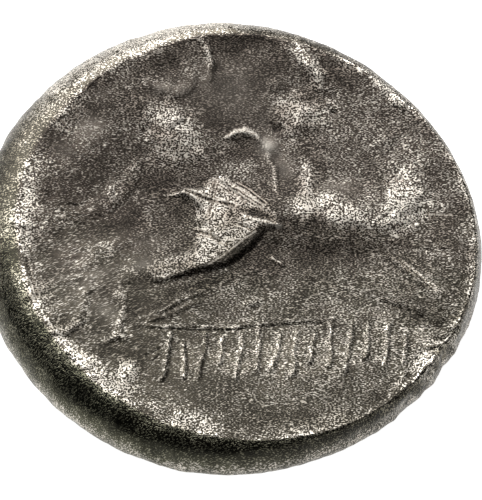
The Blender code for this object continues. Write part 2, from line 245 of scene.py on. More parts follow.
# Ridges are lists of (x, y, half width, height, rub), where rub is how bare of toning the top is
RIDGES = {
    "tail": [(-4.6, 4.1, 0.5, 0.036, 0.35), (-5, 3.1, 0.6, 0.072, 0.35), (-5.6, 2.1, 0.5, 0.06, 0.4),
        (-6.4, 1.4, 0.5, 0.048, 0.35), (-7.8, 0.9, 0.6, 0.036, 0.3), (-9, 0.3, 0.5, 0.024, 0.25)],
    "tail_lock": [(-5.8, 2.9, 0.4, 0.036, 0.4), (-6.1, 2.1, 0.45, 0.06, 0.35),
        (-6.8, 1.5, 0.45, 0.036, 0.3)],
    "far_thigh": [(-3.9, 1, 0.3, 0.024, 0.4), (-4.1, 0.1, 0.4, 0.03, 0.4), (-4.9, -0.1, 0.5, 0.03, 0.25),
        (-5.7, -0.6, 0.6, 0.036, 0.35), (-6.5, -1.2, 0.7, 0.06, 0.7), (-7.1, -1.7, 0.6, 0.048, 0.4),
        (-7.7, -2.5, 0.6, 0.036, 0.45), (-8.6, -3, 0.5, 0.03, 0.5), (-9.6, -3.5, 0.45, 0.024, 0.6)],
    "far_hind_leg": [(-7, -2.8, 0.4, 0.024, 0.3), (-7.1, -3.6, 0.36, 0.054, 0.6),
        (-7.2, -4.3, 0.36, 0.048, 0.4), (-7.5, -5.3, 0.36, 0.054, 0.6)],
    "far_hoof": [(-8.8, -5.9, 0.36, 0.08, 0.7), (-8.1, -5.85, 0.42, 0.12, 0.8),
        (-7.7, -5.5, 0.36, 0.1, 0.6)],
    "near_hind_leg": [(-3.6, -2, 0.7, 0.108, 0.55), (-4.6, -1.9, 0.7, 0.078, 0.39),
        (-5, -2.4, 0.6, 0.054, 0.29), (-5.4, -3, 0.4, 0.042, 0.26), (-5.3, -3.8, 0.5, 0.07, 0.39),
        (-5.3, -4.5, 0.3, 0.054, 0.29), (-5.45, -5.3, 0.3, 0.054, 0.39),
        (-5.5, -5.9, 0.36, 0.054, 0.39)],
    "near_hoof": [(-6.0, -6.2, 0.36, 0.08, 0.5), (-5.3, -6.05, 0.42, 0.1, 0.7)],
    "barrel": [(0.4, 1.2, 1.9, 0.16, 0.0), (2.6, 1.3, 2.0, 0.26, 0.08), (5.6, 1.1, 2.1, 0.28, 0.1),
        (8.2, 1.2, 1.9, 0.2, 0.08)],
    "belly": [(2.2, 0.1, 0.9, 0.12, 0.0), (5.0, -0.2, 1.0, 0.14, 0.0), (8.0, -0.3, 0.9, 0.1, 0.0)],
    "rider_waist": [(4.2, 3.9, 0.5, 0.056, 0.35), (4.15, 3, 0.6, 0.14, 0.8), (3.95, 2.3, 0.6, 0.14, 0.6),
        (3.7, 1.6, 0.6, 0.14, 0.5), (3.9, 1, 0.5, 0.112, 0.4)],
    "forehand": [(4.4, 1.7, 0.9, 0.18, 0.55), (5.4, 1.55, 0.95, 0.19, 0.6), (6.2, 0.95, 0.95, 0.2, 0.7),
        (6.8, 0.5, 0.75, 0.17, 0.6), (7.0, 0.0, 0.5, 0.11, 0.4)],
    "near_foreleg": [(7.9, -0.9, 0.35, 0.05, 0.15), (8.7, -1.6, 0.4, 0.08, 0.25),
        (9.4, -2.4, 0.42, 0.1, 0.35), (10.2, -3.3, 0.4, 0.09, 0.3), (10.9, -4.2, 0.4, 0.08, 0.2)],
    "far_foreleg": [(7.0, -3.2, 0.45, 0.05, 0.1), (8.0, -3.85, 0.42, 0.08, 0.2),
        (9.2, -3.95, 0.42, 0.1, 0.25), (9.7, -4.6, 0.42, 0.07, 0.2)],
    "cloak_hook": [(-4, 8.7, 0.5, 0.07, 0.25), (-3.4, 8.35, 0.6, 0.098, 0.35),
        (-2.6, 8.1, 0.5, 0.07, 0.25), (-1.9, 8.6, 0.5, 0.07, 0.15), (-1.9, 9.4, 0.5, 0.056, 0.1),
        (-2.1, 10.2, 0.5, 0.035, 0.1)],
    "cloak_edge": [(-6.4, 9.8, 1.1, 0.056, 0.35), (-5.3, 8.5, 1.1, 0.07, 0.4),
        (-4.7, 7.5, 1, 0.084, 0.4), (-4.2, 6.6, 0.9, 0.084, 0.4)],
    "streamer": [(-1.9, 11.5, 0.3, 0.07, 0.5), (-1.4, 11.3, 0.3, 0.1, 0.6),
        (-1.05, 10.8, 0.3, 0.12, 0.6), (-1.0, 10.2, 0.3, 0.12, 0.6), (-0.85, 9.6, 0.32, 0.1, 0.4),
        (-0.8, 8.9, 0.34, 0.05, 0.15)],
    "rider_arm": [(-0.1, 5.75, 0.2, 0.07, 0.8), (0.4, 6.0, 0.28, 0.1, 1.0), (0.9, 6.02, 0.34, 0.11, 1.0),
        (1.4, 5.8, 0.28, 0.1, 1.0), (1.7, 5.3, 0.22, 0.08, 0.5), (1.95, 4.6, 0.22, 0.08, 0.4),
        (2.35, 3.9, 0.24, 0.08, 0.5), (2.4, 3.2, 0.26, 0.08, 0.55), (2.5, 2.4, 0.26, 0.07, 0.4)],
    "helmet_crest": [(3.6, 10.5, 0.4, 0.08, 0.8), (4.1, 9.9, 0.5, 0.14, 1.0), (4.7, 9.2, 0.5, 0.14, 1.0),
        (4.7, 8.5, 0.35, 0.06, 0.5)],
    "ground_line": [(-4.3, -5.35, 0.16, 0.05, 0.2), (-2.4, -5.42, 0.18, 0.08, 0.35),
        (0.0, -5.35, 0.18, 0.08, 0.3), (2.4, -5.22, 0.18, 0.08, 0.3), (4.9, -5.0, 0.16, 0.06, 0.2)],
    "haunch_prong": [(1.0, 0.82, 0.18, 0.2, 1.0), (1.9, 0.58, 0.24, 0.26, 1.0),
        (2.7, 0.33, 0.2, 0.18, 1.0)],
    "haunch_whisker": [(-3.2, 2.3, 0.1, 0.05, 0.5), (-2.8, 2.3, 0.12, 0.07, 0.7),
        (-2.3, 2.42, 0.16, 0.12, 0.9)],
    "upper_flow": [(-4.1, -4.9, 0.16, 0.05, 0.15), (-3.0, -4.35, 0.18, 0.07, 0.2),
        (-2.2, -3.7, 0.16, 0.06, 0.2), (-1.3, -3.3, 0.14, 0.03, 0.1)],
    "lower_flow": [(-4.0, -5.1, 0.14, 0.05, 0.15), (-2.6, -4.55, 0.16, 0.06, 0.2),
        (-1.9, -4.1, 0.16, 0.06, 0.2), (-1.2, -3.8, 0.14, 0.03, 0.1)],
    "belly_spur": [(2.25, -1.3, 0.12, 0.08, 0.8), (2.45, -1.55, 0.16, 0.12, 0.9),
        (2.7, -1.7, 0.14, 0.1, 0.8)],
}
# How rounded a ridge is, and how fast its rub fades to the sides
RIDGE_ROUNDNESS = 1.8
RIDGE_RUB_FADE = 0.85
# Mounds, each (x, y, half length, half width, turn, height, rub)
MOUNDS = {
    "rider_head": (3.7, 6.9, 1.7, 1.4, 20, 0.13, 0.8),
    "rider_brow": (3.8, 8.1, 0.8, 0.6, 0, 0.1, 0.3),
    "helmet_tip": (2.4, 8.7, 0.6, 0.45, -30, 0.07, 0.3),
    "cloak_mass": (-2.8, 6.0, 2.4, 1.5, -80, 0.15, 0.8),
    "cloak_top": (-2.8, 6.7, 0.9, 0.7, 80, 0.12, 0.85),
    "cloak_knot": (-3.9, 7.1, 0.5, 0.4, 0, 0.06, 0.6),
    "cloak_fold": (-3.2, 5.4, 1.2, 0.6, -10, 0.1, 0.4),
    "cloak_hem": (-2.0, 4.7, 0.9, 0.6, 0, 0.08, 0.5),
    "neck_mass": (8.9, 1.7, 2.4, 1.3, 88, 0.08, 0.7),
    "neck_front": (9.4, 1.6, 1.2, 0.5, 80, 0.08, 0.5),
    "neck_back": (8.4, 1.6, 1.1, 0.4, 85, 0.06, 0.5),
    "neck_top": (8.5, 4.0, 0.8, 0.45, 60, 0.04, 0.1),
    "horse_head": (8.2, 5.4, 0.8, 0.55, 60, 0.07, 0.35),
    "shoulder_lump": (5.3, 1.95, 0.6, 0.35, -30, 0.12, 0.6),
    "breast_lump": (5.3, 0.95, 0.4, 0.3, 0, 0.1, 0.6),
    "knee_lump": (6.6, 0.45, 0.5, 0.4, 0, 0.1, 0.5),
    "rider_sleeve": (2.15, 5.1, 0.75, 0.6, -60, 0.12, 0.0),
    "pellet": (-5.0, -8.0, 0.72, 0.72, 0, 0.07, 1.0),
    "pellet_top": (-5.0, -8.0, 0.72, 0.72, 0, 0.0, 1.0),
    "left_rim_lump": (-7.1, -7.7, 0.95, 0.6, -25, 0.06, 1.0),
    "right_rim_lump": (8.8, 7.4, 0.8, 0.4, -35, 0.14, 0.8),
    "upper_rim_lump": (8.0, 8.5, 0.9, 0.55, -45, 0.12, 0.75),
    "ground_lump": (1.3, -3.9, 0.5, 0.4, 10, 0.08, 0.5),
    "low_lump": (4.0, -2.5, 0.5, 0.3, 80, 0.06, 0.3),
}
MOUND_ROUNDNESS = 1.5
MOUND_RUB_FADE = 0.8
# How softly heights join where they meet, as a power
JOIN_POWER = 3
# The relief fades towards the crest of the rim
RIM_FADE = 0.6
RIM_FADE_CURVE = 12
# Broad rubbed patches round the high places, each (x, y, half length, half width, turn, rub)
RUBBED = [
    (5.0, 0.8, 3.0, 1.5, -15, 0.35), (8.9, 2.0, 1.7, 2.2, 0, 0.45), (-2.9, 6.0, 1.8, 2.6, 0, 0.3),
    (3.7, 7.1, 2.0, 1.7, 0, 0.4), (4.3, 2.9, 0.9, 1.5, 0, 0.35), (-4.6, -2.6, 1.2, 2.4, 25, 0.08),
    (-9.95, 1.6, 0.45, 2.4, -8, 0.7), (8.2, 2.4, 0.9, 1.6, 0, 0.3), (3.2, 6.6, 1.3, 0.8, 10, 0.35),
    (-7.1, -7.5, 1.1, 0.5, -25, 0.9), (3.6, 10.5, 1.2, 0.7, -30, 0.6), (8.8, 2.2, 1.3, 1.4, 0, 0.3),
]
# How fast such a soft patch fades outwards
PATCH_FADE = 1.2
# How uneven the rub is, in layers, each (size, bumps apart, seed)
RUB_UNEVEN = [(0.6, 1.3, 16), (0.5, 0.6, 17), (0.5, 0.3, 18)]
RUB_UNEVENNESS = 1.2
# Hollows worn or cut below the field, each (x, y, half length, half width, turn, depth)
HOLLOWS = {
    "gash": (1.5, 1.08, 1.35, 0.34, -27, 0.09),
    "under_hand": (0.6, 5.25, 1.1, 0.45, -15, 0.04),
    "under_head": (2.5, 6.3, 0.55, 0.28, -50, 0.12),
    "pit": (5.45, 7.1, 0.22, 0.16, 0, 0.12),
    "behind_haunch": (-2.25, 1.4, 1.1, 0.45, 80, 0.03),
    "rim_hollow": (5.6, 9.7, 1.2, 0.5, -30, 0.1),
    "cloak_hollow": (-3.0, 9.7, 0.9, 0.6, 0, 0.06),
}
HOLLOW_TONING = 0.8  # how much toning they keep
# The haunch stands highest. Its rubbed top has this outline, each (x, y, slope inside it, slope outside it)
HAUNCH = [
    (-2.6, 2.42, 0.1, 0.08), (-2.15, 2.75, 0.1, 0.08), (-1.3, 2.85, 0.3, 0.08), (-1.0, 3.4, 0.4, 0.08),
    (-0.3, 3.5, 0.6, 0.08), (0.45, 3.08, 0.8, 0.08), (1.1, 2.65, 0.7, 0.08), (1.9, 1.75, 0.5, 0.08),
    (2.55, 1.0, 0.35, 0.08), (2.85, 0.3, 0.1, 0.1), (2.2, 0.35, 0.06, 0.2), (1.75, 0.28, 0.06, 0.3),
    (1.4, 0.0, 0.06, 0.42), (1.1, -0.18, 0.06, 0.48), (0.85, -0.4, 0.06, 0.52),
    (0.41, -0.78, 0.06, 0.54), (-0.28, -1.36, 0.06, 0.46), (-1.16, -1.93, 0.08, 0.26),
    (-2.03, -2.3, 0.1, 0.14), (-2.9, -2.6, 0.15, 0.12), (-3.7, -2.8, 0.2, 0.12), (-4.3, -2.4, 0.4, 0.14),
    (-4.1, -1.6, 0.5, 0.14), (-3.4, -1.2, 0.5, 0.14), (-2.9, -1.08, 0.5, 0.12),
    (-2.46, -0.98, 0.5, 0.12), (-2.03, -0.78, 0.6, 0.14), (-1.62, -0.4, 0.7, 0.14),
    (-1.62, 0.3, 0.8, 0.14), (-1.72, 0.91, 0.8, 0.14), (-1.66, 1.31, 0.8, 0.14), (-1.9, 1.85, 0.4, 0.12),
]
HAUNCH_HEIGHT = 0.3
HAUNCH_RUB = 0.92
HAUNCH_UNEVEN = [(0.15, 0.8, 19)]
# How much lower the haunch is at its top, where it runs into the back
HAUNCH_FALL = 0.55
HAUNCH_FALL_AT = (0.5, 3.4)
# Its lower left end runs down into the leg, and is less rubbed there
LEG_DROP = 0.65
LEG_LEFT = (0.6, 3.8)
LEG_LOW = (0.2, 1.4)
LEG_TONING = 0.5
# Where the rub of its top starts and is full, inwards from the outline, and how much later in the leg
TOP_RUB = (-0.08, 0.12)
LEG_RUB_DELAY = 0.4
# In front the haunch ends in a dark ledge, and most of its drop is at the foot of that
LEDGE_SLOPES = (0.15, 0.35)  # the outer slopes from which there is one
LEDGE_START = (-0.02, 0.08)
FOOT_SHARE = 0.86
LEDGE_DROP = 0.18
LEDGE_FILM = 0.15
LEDGE_TONE = -0.5
# Cuts and scratches, each (half width, depth, how dark, points)
SCRATCHES = {
    "long_cut": (0.07, 0.09, 0.9, [(-2.09, 2.53), (-0.79, 1.94), (0.33, 1.59)]),
    "cross_cut": (0.05, 0.07, 0.7, [(-0.61, 3.18), (-0.84, 1.94)]),
    "cross_cut_twin": (0.04, 0.05, 0.5, [(-0.45, 3.1), (-0.66, 2.3)]),
    "cross_cut_foot": (0.045, 0.06, 0.7, [(-0.83, 1.6), (-0.93, 0.95)]),
    "low_cut": (0.06, 0.08, 0.85, [(-1.59, 0.25), (-0.95, -0.1), (-0.4, -0.55)]),
    "low_cut_end": (0.04, 0.05, 0.5, [(-0.35, -0.6), (0.1, -1.0)]),
    "low_cut_twin": (0.04, 0.05, 0.6, [(-1.45, -0.02), (-0.7, -0.42)]),
    "right_cut": (0.055, 0.06, 0.85, [(0.6, 0.42), (1.3, 0.05)]),
    "rake_1": (0.04, 0.08, 0.9, [(0.25, 3.15), (0.93, 2.72), (1.9, 1.7)]),
    "rake_2": (0.04, 0.08, 0.9, [(0.07, 2.88), (0.73, 2.42), (1.75, 1.5)]),
    "rake_3": (0.04, 0.06, 0.7, [(0.1, 2.55), (0.6, 2.2), (1.3, 1.62)]),
    "rake_4": (0.04, 0.06, 0.7, [(0.75, 3.02), (1.3, 2.6), (2.1, 1.75)]),
    "rake_5": (0.035, 0.05, 0.6, [(-0.3, 2.75), (0.3, 2.2)]),
    "neck_arc": (0.06, 0.05, 0.6, [(8.1, 2.95), (8.4, 3.2), (8.8, 3.05)]),
    "leg_cut": (0.05, 0.06, 0.6, [(8.2, -1.0), (9.0, -1.9), (10.4, -3.5)]),
    "leg_cut_twin": (0.04, 0.04, 0.4, [(8.6, -1.0), (9.4, -1.9)]),
    "foreleg_top": (0.07, 0.05, 0.3, [(7.6, -3.6), (9.2, -3.75)]),
    "foreleg_foot": (0.07, 0.05, 0.35, [(7.7, -4.1), (9.0, -4.4), (10.2, -5.3)]),
    "line_shade": (0.04, 0.03, 0.8, [(-3.4, -5.5), (-1.2, -5.5), (1.5, -5.42)]),
    "line_shade_end": (0.04, 0.03, 0.4, [(1.5, -5.42), (4.6, -5.2)]),
    "girth": (0.06, 0.05, 0.35, [(8.2, -0.6), (9.4, -0.9), (11.0, -1.0)]),
    "rim_hair_1": (0.05, 0.04, 0.6, [(10.1, 0.95), (11.3, 0.82)]),
    "rim_hair_2": (0.04, 0.04, 0.5, [(10.3, 0.7), (11.1, 0.64)]),
    "stria_1": (0.05, 0.03, 0.3, [(-8.3, 1.28), (-7.6, 1.05), (-6.3, 0.95)]),
    "stria_2": (0.05, 0.03, 0.3, [(-8.1, 0.92), (-6.5, 0.72)]),
    "stria_3": (0.05, 0.04, 0.35, [(-8.5, 0.6), (-7.4, 0.52)]),
    "stria_4": (0.05, 0.04, 0.35, [(-8.0, 1.65), (-7.2, 1.6)]),
    "scuff_1": (0.05, 0.05, 0.5, [(-4.1, -7.1), (-3.4, -6.7)]),
    "scuff_2": (0.05, 0.05, 0.5, [(-3.8, -7.5), (-3.45, -7.1)]),
    "crest_line": (0.06, 0.06, 0.6, [(-10.15, -1.7), (-9.85, -2.9), (-9.55, -3.9)]),
    "chip_crack": (0.08, 0.1, 0.8, [(10.2, -6.75), (10.75, -6.7), (11.2, -7.1)]),
    "chip_crack_2": (0.07, 0.08, 0.7, [(11.3, -5.0), (11.7, -5.3)]),
    "field_cut": (0.05, 0.05, 0.6, [(-9.1, 6.9), (-8.1, 5.9)]),
}
# The low burr on both sides of a cut, as (how far off, half width) in half widths of the cut
BURR_PLACE = (2.2, 0.9)
BURR_HEIGHT = 0.3
# Bright lines along edges, partly rubbed bare and partly painted highlight, each (half width, how bright,
# points)
GLINTS = {
    "haunch_tip": (0.16, 0.7, [(-2.5, 2.42), (-2.1, 2.2)]),
    "whisker": (0.1, 0.6, [(-3.3, 2.25), (-2.9, 2.3), (-2.4, 2.42)]),
    "cut_lip": (0.14, 0.5, [(-0.5, 2.0), (0.3, 1.76), (1.0, 1.45)]),
    "prong_body": (0.14, 0.7, [(0.95, 0.84), (1.84, 0.6), (2.65, 0.33)]),
    "thumb": (0.1, 0.6, [(0.85, 6.05), (0.75, 6.4)]),
    "sleeve_edge": (0.11, 0.6, [(1.55, 5.75), (1.85, 5.2), (2.1, 4.5)]),
    "sleeve_foot": (0.11, 0.5, [(2.35, 3.9), (2.4, 2.6)]),
    "waist_light": (0.12, 0.5, [(4.1, 3.2), (4.2, 2.4)]),
    "near_leg_light": (0.11, 0.4, [(-5.3, -4.5), (-5.42, -5.5)]),
    "far_leg_light": (0.11, 0.6, [(-6.93, -3.96), (-7.06, -5.5)]),
    "crest_light": (0.12, 0.9, [(-10.4, -2.0), (-9.9, -3.2), (-9.6, -3.9), (-9.45, -4.7), (-9.0, -5.4),
                                (-8.5, -5.9), (-8.1, -6.7)]),
    "streamer_light": (0.16, 0.6, [(-1.7, 11.5), (-1.2, 11.0), (-1.0, 10.3), (-1.0, 9.6)]),
    "foreleg_light": (0.1, 0.5, [(8.8, -1.6), (9.9, -2.8), (10.6, -3.5)]),
    "flow_light": (0.1, 0.35, [(-4.6, -5.0), (-3.0, -4.25), (-2.0, -3.55)]),
    "line_bead_1": (0.14, 0.9, [(-3.3, -5.4), (-3.1, -5.45)]),
    "line_bead_2": (0.14, 0.9, [(-1.25, -5.42), (-1.1, -5.45)]),
    "line_bead_3": (0.14, 0.7, [(0.15, -5.35), (0.35, -5.35)]),
}
GLINT_TONE = 0.7
# The row of strokes where the inscription was
STROKE_COUNT = 14
STROKE_START = (-3.1, -7.2)
STROKE_STEP = (0.92, 0.055)
STROKE_LENGTH = 2.7
STROKE_HALF_WIDTH = 0.22
STROKE_HEIGHT = 0.1
STROKE_TAPER = 0.8
STROKE_RUB = 0.45
# In turn, each stroke's share of the full length, its rise and its sideways run for a millimetre up
STROKE_SHARES = [1.0, 0.72, 0.92, 0.6, 1.0]
STROKE_RISES = [0.0, -0.2, 0.05, 0.35, -0.05, 0.3]
STROKE_LEANS = [0.12, 0.02, 0.16, 0.07]
# Light along a stroke and shade beside it, each (stops, how far off, half width) in half widths
STROKE_LIGHTS = [(0.5, 0, 0.5), (-0.3, 1.3, 0.35)]
# Paler or darker toning in stops, and a few patches of painted shade marked below, each (x, y, half length,
# half width, turn, stops)
TONES = [
    (2.8, -6.9, 7.3, 1.9, 3, 1.35), (9.4, -6.2, 1.2, 0.9, 20, 0.4), (8.5, 0, 3.5, 9, 0, 0.35),
    (-9, 0, 2, 8, 0, 0.45), (-2.8, -9.5, 1.8, 0.6, -20, 0.5), (-1.5, -4.2, 3.0, 1.0, 15, 0.5),
    (3.3, -3.6, 1.2, 0.6, 0, 0.2), (2.1, 5.15, 0.75, 0.55, -60, 0.6), (0.3, 8.3, 2.4, 2.2, 0, -0.3),
    (5.3, 2.8, 1.0, 0.5, 0, 0.3), (1.75, 0.1, 0.4, 0.25, -40, -0.4), (-3.6, 8.5, 0.8, 0.55, 0, 0.5),
    (-2.4, 8.2, 0.9, 0.5, 0, 0.4), (-1.9, 9.3, 0.7, 1.1, 0, 0.6), (-7.0, 6.0, 0.9, 0.75, 60, 0.4),
    (-7.7, 5.2, 0.7, 0.5, 30, 0.4), (-6.6, 8.1, 0.7, 0.4, 20, 0.4), (-8.2, 7.2, 0.9, 0.4, 50, 0.6),
    (-6.0, -4.6, 0.7, 0.5, -20, 0.7), (-6.5, -2.4, 0.9, 0.4, 35, 0.5), (-7.5, -1.0, 2.2, 1.2, 35, 0.15),
    (2.0, 11.2, 2.2, 0.5, -10, -0.8), (-4.3, -1.75, 0.8, 0.4, 20, 0.5),
    (-4.9, -9.3, 0.7, 0.5, -30, -0.5), (6.5, 7.6, 0.5, 0.9, 30, 0.8), (5.2, 6.8, 0.9, 0.6, 0, 0.7),
    # The last patch on the next line is painted shade under the horse's belly
    (0.4, 4.0, 1.6, 0.8, 0, 0.5), (9.5, 5.0, 1.2, 0.8, -20, 0.4), (5.4, -1.1, 4.2, 0.9, 0, -0.8),
    (0.2, 7.6, 2.0, 1.8, 0, -0.3), (0.7, 5.1, 1.2, 0.6, -15, -0.5), (-3.0, 9.9, 1.4, 0.9, 0, -0.4),
    (-7.2, 8.7, 0.8, 0.4, 30, -1.0), (-3.2, 3.0, 1.6, 0.8, 20, -0.8), (-2.4, 1.2, 0.9, 0.7, 80, -0.4),
    (-6.0, 0.2, 2.2, 0.5, 35, -0.8), (-6.2, 6.9, 1.2, 1.0, 0, -0.4), (0.85, 6.05, 0.75, 0.2, -8, 1.1),
    (-5.0, -8.0, 1.3, 1.3, 0, -0.9), (-5.0, -8.0, 0.75, 0.75, 0, 0.9), (-3.2, -10.2, 1.6, 0.5, -25, 0.5),
    (0.3, -11.5, 1.2, 0.4, 0, 0.5), (-7.1, -7.5, 1.0, 0.45, -25, 1.2), (-8.8, 0.4, 0.7, 2.4, 0, -0.5),
    (-9.95, 1.6, 0.45, 2.4, -8, 0.6), (5.2, 0.0, 2.4, 0.7, -8, -0.5), (-1.9, -1.3, 1.6, 0.9, 40, -0.3),
    (-7.3, 1.4, 2.4, 2.2, 0, 0.3), (-6.4, 5.0, 1.8, 1.8, 0, 0.25), (3.4, -3.2, 2.4, 1.0, 0, -0.2),
    (8.6, 2.2, 1.1, 1.3, 0, 0.4), (-0.2, 0.8, 1.8, 1.8, 40, -0.3), (-2.6, -9.3, 1.6, 0.9, -20, 0.5),
    (3.8, 10.4, 0.9, 0.5, -30, 2.0), (4.6, 9.4, 0.7, 0.4, -50, 0.8), (8.2, 8.6, 0.9, 0.5, -45, 0.5),
    (5.6, 9.3, 1.6, 0.7, -25, -0.8), (0.8, 10.8, 2.6, 1.0, 0, -0.4), (9.9, -5.1, 1.0, 0.5, -20, -0.9),
    # The first patch on the next line is painted shadow under the rider's head
    (2.5, 6.3, 0.6, 0.3, -50, -0.8), (1.5, 1.08, 1.2, 0.26, -27, -1.2),
    (-4.7, -4.6, 0.35, 1.4, 10, -0.8), (-1.0, -2.75, 2.6, 0.28, 20, -1.3),
    (1.2, -1.05, 0.9, 0.25, 45, -0.5), (7.5, 6.2, 1.6, 0.8, 0, 0.3),
]
# Smooth pale films over the grain, each (x, y, half length, half width, turn, share)
FILMS = [
    (2.0, 5.1, 0.8, 0.6, -60, 0.9), (2.75, 3.75, 0.7, 0.5, -70, 0.5), (5.5, 2.7, 1.2, 0.6, 0, 0.35),
    (-7.0, 6.2, 0.9, 0.75, 60, 0.4), (-6.5, 8.1, 0.7, 0.45, 20, 0.3), (-8.4, 4.7, 0.6, 0.5, 0, 0.3),
    (-3.4, 8.4, 0.7, 0.4, 30, 0.5), (-2.2, 8.3, 0.6, 0.4, -20, 0.35), (-4.0, -0.4, 0.8, 0.7, 0, 0.3),
    (1.8, 6.6, 0.6, 0.5, 0, 0.3), (-6.5, -2.4, 0.9, 0.4, 35, 0.25), (-6.1, -4.6, 0.8, 0.5, -20, 0.35),
    (-4.3, -1.75, 0.8, 0.4, 20, 0.5), (0.3, 8.3, 2.4, 2.2, 0, 0.4), (-7.5, -3.2, 3.2, 3.2, 0, 0.22),
]


def union(heights):
    """Heights joined softly where they meet."""
    return sum(height**JOIN_POWER for height in heights) ** (1 / JOIN_POWER)


def together(shares):
    """Shares of a whole laid over each other, never more than all of it."""
    left = 1.0
    for share in shares:
        left = left * (1 - np.clip(share, 0, 1))
    return 1 - left


def segments(points):
    return list(zip(points, points[1:]))


def nearest_on(x, y, start, end):
    """Distance to a straight piece, and how far along it the nearest point is."""
    run_x, run_y = end[0] - start[0], end[1] - start[1]
    along = np.clip(((x - start[0]) * run_x + (y - start[1]) * run_y) / (run_x**2 + run_y**2), 0, 1)
    return np.hypot(x - start[0] - along * run_x, y - start[1] - along * run_y), along


def ridge(x, y, route):
    """Height and rub of a rounded ridge along its route."""
    best, rubbed = np.zeros_like(x), np.zeros_like(x)
    for start, end in segments(route):
        off, along = nearest_on(x, y, start, end)
        wide, high, rub = (start[i] + along * (end[i] - start[i]) for i in (2, 3, 4))
        reach = off / wide
        best = np.maximum(best, high * np.clip(1 - reach**2, 0, 1) ** RIDGE_ROUNDNESS)
        rubbed = np.maximum(rubbed, rub * np.clip(1 - RIDGE_RUB_FADE * reach**2, 0, 1))
    return best, rubbed


def oval_reach(x, y, shape):
    """How far out each point is in an oval, as a share of its half sizes, squared."""
    x0, y0, long, wide, turn = shape[:5]
    cos, sin = np.cos(np.radians(turn)), np.sin(np.radians(turn))
    u = ((x - x0) * cos + (y - y0) * sin) / long
    v = ((y - y0) * cos - (x - x0) * sin) / wide
    return u**2 + v**2


def mound(x, y, shape):
    """Height and rub of a rounded oval mound."""
    reach = oval_reach(x, y, shape)
    height = shape[5] * np.clip(1 - reach, 0, 1) ** MOUND_ROUNDNESS
    return height, shape[6] * np.clip(1 - MOUND_RUB_FADE * reach, 0, 1)


def patches(x, y, shapes):
    """The strengths of soft oval patches, each of which fades out past its half sizes."""
    return [shape[5] * np.exp(-PATCH_FADE * oval_reach(x, y, shape)) for shape in shapes]


def haunch(x, y):
    """Height and rub of the haunch, a plateau with a steep foot in front, and where its ledge is."""
    nearest = np.full_like(x, np.inf)
    inner, outer = np.ones_like(x), np.ones_like(x)
    inside = np.zeros(x.shape, bool)
    for start, end in segments(HAUNCH + HAUNCH[:1]):
        off, along = nearest_on(x, y, start, end)
        inner = np.where(off < nearest, start[2] + along * (end[2] - start[2]), inner)
        outer = np.where(off < nearest, start[3] + along * (end[3] - start[3]), outer)
        nearest = np.minimum(nearest, off)
        if start[1] != end[1]:
            crossing = start[0] + (y - start[1]) * (end[0] - start[0]) / (end[1] - start[1])
            inside ^= ((start[1] > y) != (end[1] > y)) & (x < crossing)
    deep = np.where(inside, nearest, -nearest)
    ledge = smooth(outer, *LEDGE_SLOPES)
    foot = ledge * (1 - LEDGE_DROP)
    slope = (1 - foot) * smooth(deep, -outer, inner) + foot * smooth(deep, -outer, -FOOT_SHARE * outer)
    leg = smooth(-x, *LEG_LEFT) * smooth(-y, *LEG_LOW)
    high = HAUNCH_HEIGHT * (1 - LEG_DROP * leg) * (1 - HAUNCH_FALL * smooth(y, *HAUNCH_FALL_AT))
    rub = HAUNCH_RUB * (1 - LEG_TONING * leg) * smooth(deep, TOP_RUB[0], TOP_RUB[1] + LEG_RUB_DELAY * leg)
    return high * slope, rub, ledge * smooth(-deep, *LEDGE_START) * (deep > -outer)


def scratch(x, y, points, half_width):
    """Depth of a cut from 0 to 1, and the low burr it threw up on both sides."""
    off = np.full_like(x, np.inf)
    for start, end in segments(points):
        off = np.minimum(off, nearest_on(x, y, start, end)[0])
    reach = off / half_width
    return peak(reach, 0, 1), peak(reach, *BURR_PLACE)


def strokes():
    """Plain leaning bars that stand apart."""
    routes = []
    for i in range(STROKE_COUNT):
        x = STROKE_START[0] + STROKE_STEP[0] * i
        y = STROKE_START[1] + STROKE_STEP[1] * i + STROKE_RISES[i % len(STROKE_RISES)]
        half = 0.5 * STROKE_LENGTH * STROKE_SHARES[i % len(STROKE_SHARES)]
        lean = STROKE_LEANS[i % len(STROKE_LEANS)] * half
        low = (x - lean, y - half, STROKE_HALF_WIDTH, STROKE_HEIGHT, STROKE_RUB)
        taper = (STROKE_TAPER * STROKE_HALF_WIDTH, STROKE_TAPER * STROKE_HEIGHT)
        routes.append([low, (x + lean, y + half, *taper, STROKE_RUB)])
    return routes


def picture(x, y):
    """Height, rub, tone and film of the picture and of the damage to it."""
    plan = on_plan(x, y)
    found = [ridge(x, y, route) for route in [*RIDGES.values(), *strokes()]]
    found += [mound(x, y, shape) for shape in MOUNDS.values()]
    rubbed = together([rub for high, rub in found])
    rubbed = together([rubbed, *patches(x, y, RUBBED)])
    rubbed *= np.clip(1 + (1 - rubbed**2) * RUB_UNEVENNESS * mottled(plan, RUB_UNEVEN), 0, 2)
    haunch_height, haunch_rub, ledge = haunch(x, y)
    height = union([haunch_height, *(high for high, rub in found)])
    rubbed = together([rubbed, haunch_rub * mottled(plan, HAUNCH_UNEVEN, 1)])
    # The tone takes in the patches of painted shade among the toning
    tone = sum(patches(x, y, TONES)) + LEDGE_TONE * ledge
    film = together([*patches(x, y, FILMS), LEDGE_FILM * ledge])
    for low, high in strokes():
        off = nearest_on(x, y, low, high)[0] / STROKE_HALF_WIDTH
        tone += sum(stops * peak(off, at, wide) for stops, at, wide in STROKE_LIGHTS)
    for shape in HOLLOWS.values():
        hollow = np.clip(1 - oval_reach(x, y, shape), 0, 1) ** MOUND_ROUNDNESS
        height -= shape[5] * hollow
        rubbed *= 1 - HOLLOW_TONING * hollow
    for half_width, depth, dark, points in SCRATCHES.values():
        cut, burr = scratch(x, y, points, half_width)
        height += depth * (BURR_HEIGHT * burr - cut)
    for half_width, bright, points in GLINTS.values():
        glint = bright * scratch(x, y, points, half_width)[0]
        rubbed = together([rubbed, glint])
        tone += GLINT_TONE * glint
    return height, rubbed, tone, film
